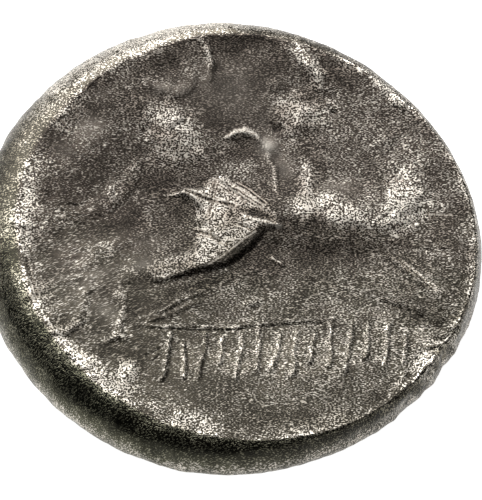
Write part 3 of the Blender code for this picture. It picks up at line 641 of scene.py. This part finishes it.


# Wear and flow
# The metal flowed outwards under the dies and left fine streaks, and its thin edge cracked there.
# Handling rubbed the rim and the rounded edge bare in places, and the rest kept its dark toning.
# The rounded edge also gets painted shade in front, a painted highlight at the far left and a painted
# reflection of the floor low down.

# Unevenness of the picture's outlines, in layers, each (size, bumps apart, seed)
WARP_X = [(0.09, 1.1, 11), (0.04, 0.4, 12)]
WARP_Y = [(0.09, 1.1, 13), (0.04, 0.4, 14)]
# Streaks of the flowing metal, each (cells round the face, length, seed)
FLOWS = [(192, 1.3, 41), (144, 2.1, 42), (288, 1.0, 43)]
# Where they show, each (degrees, half width in degrees, strength), from these radii on
FLOW_SIDES = [(200, 48, 1), (-25, 24, 0.55), (5, 14, 0.4)]
FLOW_START = (3, 8)
FLOW_TONE = 1.0
FLOW_HEIGHT = 0.03
# Bare metal along the crest of the rim, each (degrees, half width in degrees, rub, how far in)
CREST_LIGHTS = [
    (12, 32, 0.6, 0.3), (50, 14, 0.6, 0.4), (84, 18, 0.1, 0.12), (114, 14, 0.35, 1.2),
    (138, 12, 0.35, 1.4), (161, 13, 0.45, 1.7), (179, 11, 1.2, 1.0), (201, 16, 1.0, 1.1),
    (221, 10, 0.8, 0.7), (237, 9, 0.9, 0.8), (251, 12, 0.9, 0.9), (264, 14, 0.6, 1.3),
    (292, 20, 0.5, 1.4), (322, 16, 0.55, 1.0), (345, 20, 0.35, 0.3),
]
CREST_RAGGED = [(0.15, 0.9, 15)]
CREST_UNEVEN = [(0.6, 1.3, 16), (0.4, 0.6, 17)]
CREST_MOST = 1.6
# How far down the rounded edge that reaches, as a share of the shoulder, and less at the foot
CREST_REACH_DOWN = 0.22
SHORT_REACH = (-85, 35, 0.12)
# Sides of the rounded edge, each (degrees, half width in degrees)
UPPER_LEFT = (115, 42)
FRONT = (-120, 70)
RIGHT = (15, 40)
# Rub of the rounded edge, each (side, at its crest, at its widest line, where it changes between them)
WALL_RUB = 0.1
WALL_RUBS = [
    (FRONT, 0, 0.55, (0.75, 1)), (UPPER_LEFT, 0, 0.7, (0, 0.3)), (RIGHT, 0.4, 0.4, (0, 1)),
    ((-42, 20), 0.3, 0.3, (0, 1)),
]
# A painted highlight at the far left, drawn as bare metal, as (side, rub, how far down, half height)
PAINTED_WALL_HIGHLIGHT = ((180, 10), 0.6, 0.33, 0.12)
# Toning of the rounded edge in stops, in the same way as its rub; the front entry is painted shade, dark
# below the crest where the edge faces the dim room
WALL_TONE = 0.4
WALL_TONES_AND_SHADE = [
    ((99, 15), 1.4, 1.4, (0, 1)), (RIGHT, 0.35, 0.35, (0, 1)), ((166, 20), -0.2, -0.9, (0, 0.3)),
    (UPPER_LEFT, 0.1, 0.8, (0.05, 0.4)), ((78, 14), -1, 0, (0.05, 0.35)), (FRONT, -1.3, 0, (0.55, 1)),
]
# Painted shade, a dark band at the foot of the front, in the same way as the painted highlight
PAINTED_WALL_SHADE = ((-78, 42), -1.4, 0.45, 0.18)
# Painted reflection of the pale floor: the widest line is paler, from this far down
BELLY_PAINTED_REFLECTION = 0.6
BELLY_REFLECTION_FROM = 0.7
# Upright streaks in front, as (how many round the coin, length in rings, seed, stops)
WALL_STREAKS = (480, 5, 44, 0.5)
# How much smooth film the rounded edge has, and how much of that is at the far left
WALL_FILM = 0.3
LEFT_FILM = (182, 26, 0.5)
# The edge turns into the underside over this many rings before and after its last one
UNDER_BLEND = 2
# Its rub, more in the middle within these radii, and its toning in stops, both in broad patches
UNDER_RUB = 0.12
UNDER_MIDDLE_RUB = 0.3
UNDER_MIDDLE = (3, 8)
UNDER_RUB_UNEVEN = [(0.3, 2.4, 51)]
UNDER_TONE = -0.3
UNDER_TONE_UNEVEN = [(0.8, 2.8, 52)]
UNDER_CALM = 0.7  # how much smoother it is than the edge
# Crumbly skin, deeper where the metal is rubbed
CRUMB_HEIGHT = 0.005
CRUMB_RUBBED_HEIGHT = 0.025
CRUMB = [(1, 0.42, 21), (0.6, 0.2, 22)]
EDGE_LUMPS = [(0.045, 1.1, 23), (0.015, 0.4, 26)]
# The rim is flaky and chipped at the lower right, as (degrees, half width in degrees)
CHIPPED_SIDE = (-36, 20)
CHIPPED_FROM = (0.91, 0.97)  # shares of the face's radius
CHIPS = [(1, 0.75, 24), (0.6, 0.35, 25)]
CHIP_HEIGHT = 0.09
# The chips' outlines are bare, and the rest of them is darker
CHIP_OUTLINE = 0.16
CHIP_RUB = 0.75
CHIP_LIGHT = 0.9
CHIP_SHADE = 0.5
# The ground is a purple brown above the horse and more olive below it and on the edge in front
OLIVE_LEVEL = 0.4
OLIVE_RISE = -0.12  # for each millimetre up the picture
OLIVE_FROM = -0.5
OLIVE_UNEVEN = [(0.3, 1.6, 31), (0.2, 0.7, 32)]
OLIVE_MOST = 0.38
OLIVE_EDGE = 0.3
OLIVE_FRONT = 0.7
# Where the fibres in the toning lean, as (degrees, half width in degrees), and from which radii on
LEANING_SIDE = (205, 48)
LEANING_FROM = (3, 7)
# The face turns into the rounded edge over this last share of its radius
EDGE_FROM = 0.985
# How far the tone attribute runs each way from its middle, in stops
TONE_REACH = 2.5


def flow_streaks(angle, radius):
    """Fine streaks along the way in which the metal flowed from the middle."""
    streaks = 0.0
    for cells, length, seed in FLOWS:
        polar = np.stack([angle / 360 * cells, radius / length, 0 * radius], axis=1)
        streaks = streaks + lumps(polar, 1, seed) / len(FLOWS)
    sides = sum(strength * bell(angle, at, half) for at, half, strength in FLOW_SIDES)
    return streaks * (smooth(radius, *FLOW_START) * sides)


def crest_wear(plan, angle, share):
    """How bare the crest of the rim is, most of all at the left and the foot."""
    gap = crest_radius(angle) * (1 - share) + mottled(plan, CREST_RAGGED)
    wear = together([rub * bell(angle, at, half) * peak(gap, 0, reach_in)
                     for at, half, rub, reach_in in CREST_LIGHTS])
    return wear * np.clip(mottled(plan, CREST_UNEVEN, 1), 0, CREST_MOST)


def by_side(angle, down, changes):
    """What the sides of the rounded edge add up to, this share of the way down it."""
    total = 0.0
    for side, top, low, ends in changes:
        total = total + bell(angle, *side) * (top + (low - top) * smooth(down, *ends))
    return total


def band(angle, down, shape):
    side, strength, at, half_height = shape
    return strength * bell(angle, *side) * peak(down, at, half_height)


def wall_wear_and_painted_light(angle, row, crest_rub):
    """Rub, tone and film of the rounded edge, with a painted highlight at the far left, painted shade in
    front and a painted reflection of the floor near its widest line.
    """
    down = np.clip(row / SHOULDER_ROWS, 0, 1)
    at, half, less = SHORT_REACH
    worn = crest_rub * peak(down, 0, CREST_REACH_DOWN - less * bell(angle, at, half))
    # The rub takes in the painted highlight at the far left
    rub = worn + WALL_RUB + by_side(angle, down, WALL_RUBS) + band(angle, down, PAINTED_WALL_HIGHLIGHT)
    # Besides the toning, the tone darkens the front as painted shade
    tone = WALL_TONE + by_side(angle, down, WALL_TONES_AND_SHADE) + band(angle, down, PAINTED_WALL_SHADE)
    # Painted reflection of the pale floor near the widest line
    tone += BELLY_PAINTED_REFLECTION * smooth(down, BELLY_REFLECTION_FROM, 1)
    count, length, seed, stops = WALL_STREAKS
    streak = np.stack([angle / 360 * count, row / length, 0 * row], axis=1)
    tone += stops * bell(angle, *FRONT) * lumps(streak, 1, seed)
    at, half, strength = LEFT_FILM
    smoothness = bell(angle, *FRONT) * (1 - worn) + bell(angle, *UPPER_LEFT)
    return rub, tone, WALL_FILM * (smoothness + strength * bell(angle, at, half))


def underside_wear(plan, radius):
    """Rub and tone of the underside, toned like the picture and brighter where it lies on a table."""
    middle = UNDER_MIDDLE_RUB * (1 - smooth(radius, *UNDER_MIDDLE))
    return mottled(plan, UNDER_RUB_UNEVEN, UNDER_RUB + middle), mottled(plan, UNDER_TONE_UNEVEN, UNDER_TONE)


def roughness(points, rub, on_face, under):
    """Height of the skin, crumbly where it is rubbed and smoother in the field between."""
    crumb = CRUMB_HEIGHT + CRUMB_RUBBED_HEIGHT * rub
    rough = crumb * mottled(points, CRUMB) + (~on_face) * mottled(points, EDGE_LUMPS)
    return rough * (1 - UNDER_CALM * under)


def olive_share(plan, angle, on_face, under):
    """How olive the toning is, against its purple brown."""
    face = mottled(plan, OLIVE_UNEVEN, OLIVE_LEVEL + OLIVE_RISE * (plan[:, 1] - OLIVE_FROM))
    edge = OLIVE_EDGE + OLIVE_FRONT * bell(angle, *FRONT) * (1 - under)
    return np.where(on_face, OLIVE_MOST * np.clip(face, 0, 1), edge)


def read_points(mesh, name):
    found = np.empty(len(mesh.vertices) * 3)
    mesh.vertices.foreach_get(name, found)
    return found.reshape(-1, 3)


def write_points(mesh, points):
    mesh.vertices.foreach_set("co", (points * MM).ravel())
    mesh.update()


def paint(mesh, name, shares):
    """Stores a share from 0 to 1 on each point, for the material to read."""
    painted = mesh.attributes.new(name, "FLOAT", "POINT")
    painted.data.foreach_set("value", np.clip(shares, 0, 1).astype(np.float32))


def strike(mesh):
    """Shapes the flat pattern into the coin and paints how rubbed and how pale each point is."""
    flat = read_points(mesh, "co")
    angle = np.degrees(np.arctan2(flat[:, 1], flat[:, 0]))
    reach = np.hypot(flat[:, 0], flat[:, 1])
    share = np.clip(reach, 0, 1)
    on_face = reach < 1 + 1e-4
    row = np.clip(reach - 1, 0, None)
    edge_radius, edge_height = edge_and_underside(angle, row)
    radius = np.where(on_face, share * crest_radius(angle), edge_radius)
    x, y = around(radius, angle)
    plan = on_plan(x, y)
    raised, rub, tone, film = picture(x + mottled(plan, WARP_X), y + mottled(plan, WARP_Y))
    face_height = field_height(x, y, angle, share) + raised * (1 - RIM_FADE * share**RIM_FADE_CURVE)
    streaks = flow_streaks(angle, radius) * on_face
    height = np.where(on_face, face_height, edge_height) + FLOW_HEIGHT * streaks
    points = np.stack([x, y, height], axis=1)

    # Wear of the face, the rounded edge and the underside, and the painted shade, highlight and reflection
    # on the edge
    crest_rub = crest_wear(plan, angle, share)
    wall_rub_and_highlight, wall_tone_and_painted_light, wall_film = wall_wear_and_painted_light(angle, row, crest_rub)
    last_ring = SHOULDER_ROWS + LOWER_ROWS
    under = smooth(row, last_ring - UNDER_BLEND, last_ring + UNDER_BLEND)
    under_rub, under_tone = underside_wear(plan, radius)
    rub = np.where(on_face, together([rub, crest_rub]), wall_rub_and_highlight + under * (under_rub - wall_rub_and_highlight))
    tone = tone + FLOW_TONE * streaks
    # The edge's tone carries its painted shade and its painted reflection of the floor
    tone = np.where(on_face, tone, wall_tone_and_painted_light + under * (under_tone - wall_tone_and_painted_light))
    rough = roughness(points, rub, on_face, under)
    chips = mottled(points, CHIPS)
    flaky = bell(angle, *CHIPPED_SIDE) * smooth(share, *CHIPPED_FROM)
    flaky *= 1 - smooth(row, SHOULDER_ROWS, last_ring)
    rough += CHIP_HEIGHT * flaky * chips
    outlines = peak(chips, 0, CHIP_OUTLINE)
    rub = together([rub, CHIP_RUB * flaky * outlines])
    tone += flaky * (CHIP_LIGHT * outlines - CHIP_SHADE)

    write_points(mesh, points)
    points = points + rough[:, None] * read_points(mesh, "normal") - (*BOX_MIDDLE, 0)
    points[:, 2] = np.maximum(points[:, 2], 0)
    write_points(mesh, points)
    paint(mesh, "rub", rub)
    # The tone attribute carries painted shade and painted reflection as well as toning
    paint(mesh, "tone", 0.5 + 0.5 * tone / TONE_REACH)
    paint(mesh, "film", np.where(on_face, film, wall_film * (1 - under)))
    paint(mesh, "lean", bell(angle, *LEANING_SIDE) * smooth(radius, *LEANING_FROM))
    paint(mesh, "edge", np.where(on_face, smooth(share, EDGE_FROM, 1.0), 1.0))
    paint(mesh, "olive", olive_share(plan, angle, on_face, under))
    mesh.update()


# Toned silver
# The metal is silver with a little copper, gone dark brown-grey in the ground.
# Toning stays in the pits and the field, and the high points are rubbed back to bright grains.

# Grains of bare metal, and the short fibres of the toning, as scales and stretches of a noise
GRAIN = 11500
GRAIN_STRETCH = (1, 1.1, 1)
FIBRE = 10200
FIBRE_STRETCH = (0.9, 2.6, 1)
# At the lower left the fibres lean up to the right
LEANING_STRETCH = (0.55, 2.4, 1)
LEANING_TURN = math.radians(-24)
NOISE_ROUGHNESS = 0.6
# How much of the ground the grains cover, from no rub to full rub
GRAIN_COVER = (-0.084, 0.053)
# Loose clusters of them, and how strong those are from no rub to full rub
CLUSTER = 2000
CLUSTER_REACH = 0.3
CLUSTER_STRENGTH = (0.35, 0.25)
# Between these noise values a grain rises out of the ground
GRAIN_EDGE = (0.46, 0.6)
GRAIN_DEPTH = 0.000012
# Brightness of the ground, its fibres' swing, the grains in the field and on bare metal, and the film
GROUND = 0.029
FIBRE_SPREAD = (0.3, 0.7)
FIBRE_SWING = (0.6, 1.9)
FIELD_GRAIN = 0.42
BARE_GRAIN = 0.54
FILM = 0.14
# Small patches half a stop paler and darker
PATCH = 600
PATCH_SPREAD = (0.33, 0.67)
PATCH_STOPS = (-0.5, 0.5)
# Bright lines too thin for the mesh, drawn by the material, partly rubbed bare and partly painted highlight,
# each (half width, how bright, points)
HAIRLINES = {
    "prong": (0.09, 0.7, [(0.95, 0.84), (1.84, 0.6), (2.65, 0.33)]),
    "haunch_edge": (0.05, 0.7, [(1.42, 0.02), (0.85, -0.42), (0.41, -0.82), (-0.28, -1.42), (-1.16, -1.95)]),
    "rake_light_1": (0.05, 0.49, [(0.16, 3.02), (0.83, 2.58), (1.83, 1.6)]),
    "rake_light_2": (0.05, 0.42, [(0.1, 2.72), (0.68, 2.3), (1.6, 1.5)]),
    "rake_light_3": (0.05, 0.49, [(0.5, 3.1), (1.12, 2.65), (2.0, 1.72)]),
    "spur": (0.05, 0.6, [(2.24, -1.33), (2.42, -1.52), (2.7, -1.68)]),
    "hand": (0.12, 0.8, [(0.05, 5.72), (0.5, 6.05), (1.0, 6.0), (1.55, 5.75)]),
    "rim_hair": (0.05, 0.7, [(10.1, 1.05), (11.3, 0.95)]),
}
GLINT = 0.62
# How far the grain breaks them up
GLINT_BREAKS = (0.35, 0.5)
GLINT_LEAST = 0.35
# Fainter cuts than this only dent the mesh, and grains inside a darker one stay a little brighter
FAINT_CUT = 0.42
CUT_ON_GRAIN = 0.75
BURR = 0.7
# A line's fade across it, in half widths, and where its burr rises and falls
LINE_FADE = (0.5, 1.4)
BURR_RISE = (1.2, 1.8)
BURR_FALL = (2.0, 3.0)
BRIGHTEST = 0.86
# The toning's two colours and bare silver, and between which brightnesses the one turns into the other
PURPLE_BROWN = (1.0, 0.81, 0.65, 1)
OLIVE = (1.0, 0.98, 0.66, 1)
BRIGHT = (1.0, 0.93, 0.82, 1)
BRIGHT_FROM = (0.05, 0.6)
METALLIC = 0.9
# From the face to the rounded edge, which is more polished
FINISH = (0.45, 0.27)


def add_node(tree, kind, **values):
    node = tree.nodes.new(kind)
    for name, value in values.items():
        setattr(node, name, value)
    return node


def noise(tree, place, scale, detail=2.0, stretch=(1, 1, 1), turn=0.0):
    turned = add_node(tree, "ShaderNodeMapping")
    turned.inputs["Rotation"].default_value = (0, 0, turn)
    tree.links.new(place, turned.inputs["Vector"])
    mapping = add_node(tree, "ShaderNodeMapping")
    mapping.inputs["Scale"].default_value = stretch
    tree.links.new(turned.outputs["Vector"], mapping.inputs["Vector"])
    node = add_node(tree, "ShaderNodeTexNoise")
    node.inputs["Scale"].default_value = scale
    node.inputs["Detail"].default_value = detail
    node.inputs["Roughness"].default_value = NOISE_ROUGHNESS
    tree.links.new(mapping.outputs["Vector"], node.inputs["Vector"])
    return node.outputs["Fac"]


def give(tree, socket, value):
    """Sets a socket to a number or colour, or links it to an output."""
    if isinstance(value, (int, float, tuple)):
        socket.default_value = value
    else:
        tree.links.new(value, socket)


def math_node(tree, kind, *values):
    node = add_node(tree, "ShaderNodeMath", operation=kind)
    for socket, value in zip(node.inputs, values):
        give(tree, socket, value)
    return node.outputs["Value"]


def product(tree, *values):
    """Its values multiplied together, the last two first."""
    if len(values) == 2:
        return math_node(tree, "MULTIPLY", *values)
    return math_node(tree, "MULTIPLY", values[0], product(tree, *values[1:]))


def ranged(tree, value, low, high, to_low=0.0, to_high=1.0, kind="SMOOTHSTEP"):
    node = add_node(tree, "ShaderNodeMapRange", interpolation_type=kind)
    tree.links.new(value, node.inputs["Value"])
    node.inputs["From Min"].default_value = low
    node.inputs["From Max"].default_value = high
    node.inputs["To Min"].default_value = to_low
    node.inputs["To Max"].default_value = to_high
    return node.outputs["Result"]


def mix_node(tree, kind, socket_type, share, first, second):
    node = add_node(tree, "ShaderNodeMix", data_type=kind)
    tree.links.new(share, node.inputs["Factor"])
    sockets = [s for s in node.inputs if s.type == socket_type and s.name in "AB"]
    for socket, value in zip(sockets, (first, second)):
        give(tree, socket, value)
    return [s for s in node.outputs if s.type == socket_type][0]


def mixed(tree, share, first, second):
    return mix_node(tree, "RGBA", "RGBA", share, first, second)


def blend(tree, share, first, second):
    return mix_node(tree, "FLOAT", "VALUE", share, first, second)


def vector_node(tree, kind, *values):
    node = add_node(tree, "ShaderNodeVectorMath", operation=kind)
    for socket, value in zip(node.inputs, values):
        tree.links.new(value, socket)
    return node


def flat_place(tree, place):
    """The place with its height dropped."""
    mapping = add_node(tree, "ShaderNodeMapping")
    mapping.inputs["Scale"].default_value = (1, 1, 0)
    tree.links.new(place, mapping.inputs["Vector"])
    return mapping.outputs["Vector"]


def painted_share(tree, name):
    return add_node(tree, "ShaderNodeAttribute", attribute_name=name).outputs["Fac"]


def cut_group():
    """A straight cut in plan, as a mask along its line and a burr beside it."""
    group = bpy.data.node_groups.new("straight_cut", "ShaderNodeTree")
    for name in ("Place", "Start", "Run"):
        group.interface.new_socket(name, in_out="INPUT", socket_type="NodeSocketVector")
    for name in ("Half Width", "Strength", "Mask Before", "Burr Before"):
        group.interface.new_socket(name, in_out="INPUT", socket_type="NodeSocketFloat")
    for name in ("Mask", "Burr"):
        group.interface.new_socket(name, in_out="OUTPUT", socket_type="NodeSocketFloat")
    given = group.nodes.new("NodeGroupInput").outputs
    away = vector_node(group, "SUBTRACT", given["Place"], given["Start"]).outputs["Vector"]
    forward = vector_node(group, "DOT_PRODUCT", away, given["Run"]).outputs["Value"]
    whole = vector_node(group, "DOT_PRODUCT", given["Run"], given["Run"]).outputs["Value"]
    share = add_node(group, "ShaderNodeMath", operation="DIVIDE", use_clamp=True)
    group.links.new(forward, share.inputs[0])
    group.links.new(whole, share.inputs[1])
    along = vector_node(group, "SCALE", given["Run"])
    group.links.new(share.outputs["Value"], along.inputs["Scale"])
    off = vector_node(group, "DISTANCE", away, along.outputs["Vector"]).outputs["Value"]
    reach = math_node(group, "DIVIDE", off, given["Half Width"])
    mask = product(group, ranged(group, reach, *LINE_FADE, 1, 0), given["Strength"])
    ring = product(group, ranged(group, reach, *BURR_RISE), ranged(group, reach, *BURR_FALL, 1, 0))
    burr = product(group, ring, given["Strength"])
    given_out = group.nodes.new("NodeGroupOutput").inputs
    group.links.new(math_node(group, "MAXIMUM", mask, given["Mask Before"]), given_out["Mask"])
    group.links.new(math_node(group, "MAXIMUM", burr, given["Burr Before"]), given_out["Burr"])
    return group


def strongest_line(tree, group, place, lines):
    """The strongest mask of all the lines, each (half width, strength, points), and of their burrs."""
    before = None
    for half_width, strength, points in lines:
        for start, end in segments(points):
            line = add_node(tree, "ShaderNodeGroup", node_tree=group)
            tree.links.new(place, line.inputs["Place"])
            line.inputs["Start"].default_value = [(start[i] - BOX_MIDDLE[i]) * MM for i in (0, 1)] + [0]
            line.inputs["Run"].default_value = [(end[i] - start[i]) * MM for i in (0, 1)] + [0]
            line.inputs["Half Width"].default_value = half_width * MM
            line.inputs["Strength"].default_value = strength
            if before:
                tree.links.new(before.outputs["Mask"], line.inputs["Mask Before"])
                tree.links.new(before.outputs["Burr"], line.inputs["Burr Before"])
            before = line
    return before.outputs["Mask"], before.outputs["Burr"]


def grains(tree, place, rub):
    """Noise of the grains, noise of the fibres, and where a grain stands out bright."""
    fine = noise(tree, place, GRAIN, 0.0, GRAIN_STRETCH)
    fibre = noise(tree, place, FIBRE, 0.0, FIBRE_STRETCH)
    leaning = noise(tree, place, FIBRE, 0.0, LEANING_STRETCH, LEANING_TURN)
    fibre = blend(tree, painted_share(tree, "lean"), fibre, leaning)
    cover = ranged(tree, rub, 0, 1, *GRAIN_COVER, "LINEAR")
    half = 0.5 * CLUSTER_REACH
    cluster = ranged(tree, noise(tree, place, CLUSTER, 1.0), 0, 1, -half, half, "LINEAR")
    cluster = product(tree, cluster, ranged(tree, rub, 0, 1, *CLUSTER_STRENGTH))
    more = math_node(tree, "ADD", cover, cluster)
    above = math_node(tree, "ADD", blend(tree, rub, fibre, fine), more)
    return fine, fibre, ranged(tree, above, *GRAIN_EDGE)


def toned(tree, place, level):
    """The brightness taken up or down by the painted tone and by small patches, in stops."""
    # The painted tone includes painted shade and painted reflection
    tone = math_node(tree, "SUBTRACT", painted_share(tree, "tone"), 0.5)
    patch = ranged(tree, noise(tree, place, PATCH), *PATCH_SPREAD, *PATCH_STOPS)
    stops = math_node(tree, "ADD", product(tree, tone, 2 * TONE_REACH), patch)
    return product(tree, level, math_node(tree, "POWER", 2.0, stops))


def lined(tree, place, level, face, rub, fine, speck):
    """The brightness with the thin bright lines, the dark cuts and their bright burrs."""
    group = cut_group()
    plan = flat_place(tree, place)
    glint = strongest_line(tree, group, plan, HAIRLINES.values())[0]
    glint = product(tree, glint, face, ranged(tree, fine, *GLINT_BREAKS, GLINT_LEAST, 1))
    level = blend(tree, glint, level, GLINT)
    cuts = [(half_width, dark, points) for half_width, depth, dark, points in SCRATCHES.values()]
    cuts = [line for line in cuts if line[1] > FAINT_CUT]
    cut, burr = strongest_line(tree, group, plan, cuts)
    level = blend(tree, product(tree, burr, rub, BURR), level, BARE_GRAIN)
    cut = product(tree, cut, face, ranged(tree, speck, 0, 1, 1, CUT_ON_GRAIN))
    return product(tree, level, math_node(tree, "SUBTRACT", 1.0, cut))


def toned_silver():
    material = bpy.data.materials.new("toned_silver")
    material.use_nodes = True
    tree = material.node_tree
    shader = tree.nodes["Principled BSDF"]
    place = add_node(tree, "ShaderNodeTexCoord").outputs["Object"]
    rub = painted_share(tree, "rub")
    edge = painted_share(tree, "edge")
    film = painted_share(tree, "film")
    face = math_node(tree, "SUBTRACT", 1.0, edge)
    # Grains stand out bright where the metal is bare, and lie as short pale fibres in the field
    fine, fibre, speck = grains(tree, place, rub)
    ground = product(tree, ranged(tree, fibre, *FIBRE_SPREAD, *FIBRE_SWING), GROUND)
    level = blend(tree, speck, ground, blend(tree, rub, FIELD_GRAIN, BARE_GRAIN))
    level = toned(tree, place, blend(tree, film, level, FILM))
    level = lined(tree, place, level, face, rub, fine, speck)
    level = math_node(tree, "MINIMUM", level, BRIGHTEST)
    tint = mixed(tree, painted_share(tree, "olive"), PURPLE_BROWN, OLIVE)
    tint = mixed(tree, ranged(tree, level, *BRIGHT_FROM), tint, BRIGHT)
    tint = mixed(tree, product(tree, film, face), tint, BRIGHT)
    colour = vector_node(tree, "SCALE", tint)
    tree.links.new(level, colour.inputs["Scale"])
    tree.links.new(colour.outputs["Vector"], shader.inputs["Base Color"])
    tree.links.new(ranged(tree, edge, 0, 1, *FINISH), shader.inputs["Roughness"])
    shader.inputs["Metallic"].default_value = METALLIC
    bump = add_node(tree, "ShaderNodeBump")
    bump.inputs["Strength"].default_value = 1.0
    bump.inputs["Distance"].default_value = GRAIN_DEPTH
    tree.links.new(speck, bump.inputs["Height"])
    tree.links.new(bump.outputs["Normal"], shader.inputs["Normal"])
    return material


# The finished coin, which stands for the solid
coin_mesh = blank_pattern()
strike(coin_mesh)
coin_mesh.shade_smooth()
coin_mesh.materials.append(toned_silver())
coin = bpy.data.objects.new("struck_coin", coin_mesh)
bpy.context.scene.collection.objects.link(coin)
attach(coin, "root")
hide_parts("coin")

# The floor, the light and the camera
# The coin lies on a plain pale floor, in soft light from two boxes behind it.
# The camera looks down on it at the photograph's angle, 60 degrees above the floor.

# Metres
FLOOR_HALF = 0.8
FLOOR_GREY = 0.8
FLOOR_ROUGHNESS = 0.9
# How brightly the floor glows on the coin, and to the camera
FLOOR_GLOW = (0.5, 1.0)
# Soft boxes, each (place, size, watts)
SOFT_BOXES = {
    "back_box": ((-0.12, 0.42, 0.45), (0.7, 0.45), 4.3),
    "left_box": ((-0.42, 0.38, 0.2), (0.35, 0.3), 0.75),
}
STUDIO_GREY = 0.055  # the dim room round them
# The view, with the point it aims at in millimetres, and the coin's size in the photograph
VIEW_ELEVATION = 60
VIEW_DISTANCE = 0.4
AIM = (0.59, -0.08, 1.6)
PIXELS_PER_MM = 19.71
FRAME_LONG_SIDE = 500
SENSOR = 36


def grey(level):
    return (level, level, level, 1)


def pale_floor():
    material = bpy.data.materials.new("pale_floor")
    material.use_nodes = True
    tree = material.node_tree
    shader = tree.nodes["Principled BSDF"]
    shader.inputs["Base Color"].default_value = grey(FLOOR_GREY)
    shader.inputs["Roughness"].default_value = FLOOR_ROUGHNESS
    shader.inputs["Emission Color"].default_value = (1, 1, 1, 1)
    seen = add_node(tree, "ShaderNodeLightPath").outputs["Is Camera Ray"]
    tree.links.new(ranged(tree, seen, 0, 1, *FLOOR_GLOW), shader.inputs["Emission Strength"])
    return material


bpy.ops.mesh.primitive_plane_add(size=2 * FLOOR_HALF)
floor = bpy.context.object
floor.name = "floor"
floor.data.materials.append(pale_floor())


def soft_box(name, place, size, power):
    """A soft box that faces the coin."""
    light = bpy.data.lights.new(name, "AREA")
    light.shape = "RECTANGLE"
    light.size, light.size_y = size
    light.energy = power
    lamp = bpy.data.objects.new(name, light)
    lamp.location = place
    lamp.rotation_euler = Vector(place).to_track_quat("Z", "Y").to_euler()
    bpy.context.scene.collection.objects.link(lamp)


for box_name, box in SOFT_BOXES.items():
    soft_box(box_name, *box)
world = bpy.data.worlds.new("studio")
world.use_nodes = True
world.node_tree.nodes["Background"].inputs["Color"].default_value = grey(STUDIO_GREY)
bpy.context.scene.world = world
bpy.context.scene.view_settings.view_transform = "Standard"

aim = Vector(AIM) * MM
tilt = math.radians(VIEW_ELEVATION)
back = Vector((0, -math.cos(tilt), math.sin(tilt)))
camera = bpy.data.objects.new("camera", bpy.data.cameras.new("camera"))
camera.location = aim + VIEW_DISTANCE * back
camera.rotation_euler = back.to_track_quat("Z", "Y").to_euler()
camera.data.sensor_width = SENSOR
camera.data.lens = PIXELS_PER_MM * VIEW_DISTANCE / MM * SENSOR / FRAME_LONG_SIDE
bpy.context.scene.collection.objects.link(camera)
bpy.context.scene.camera = camera
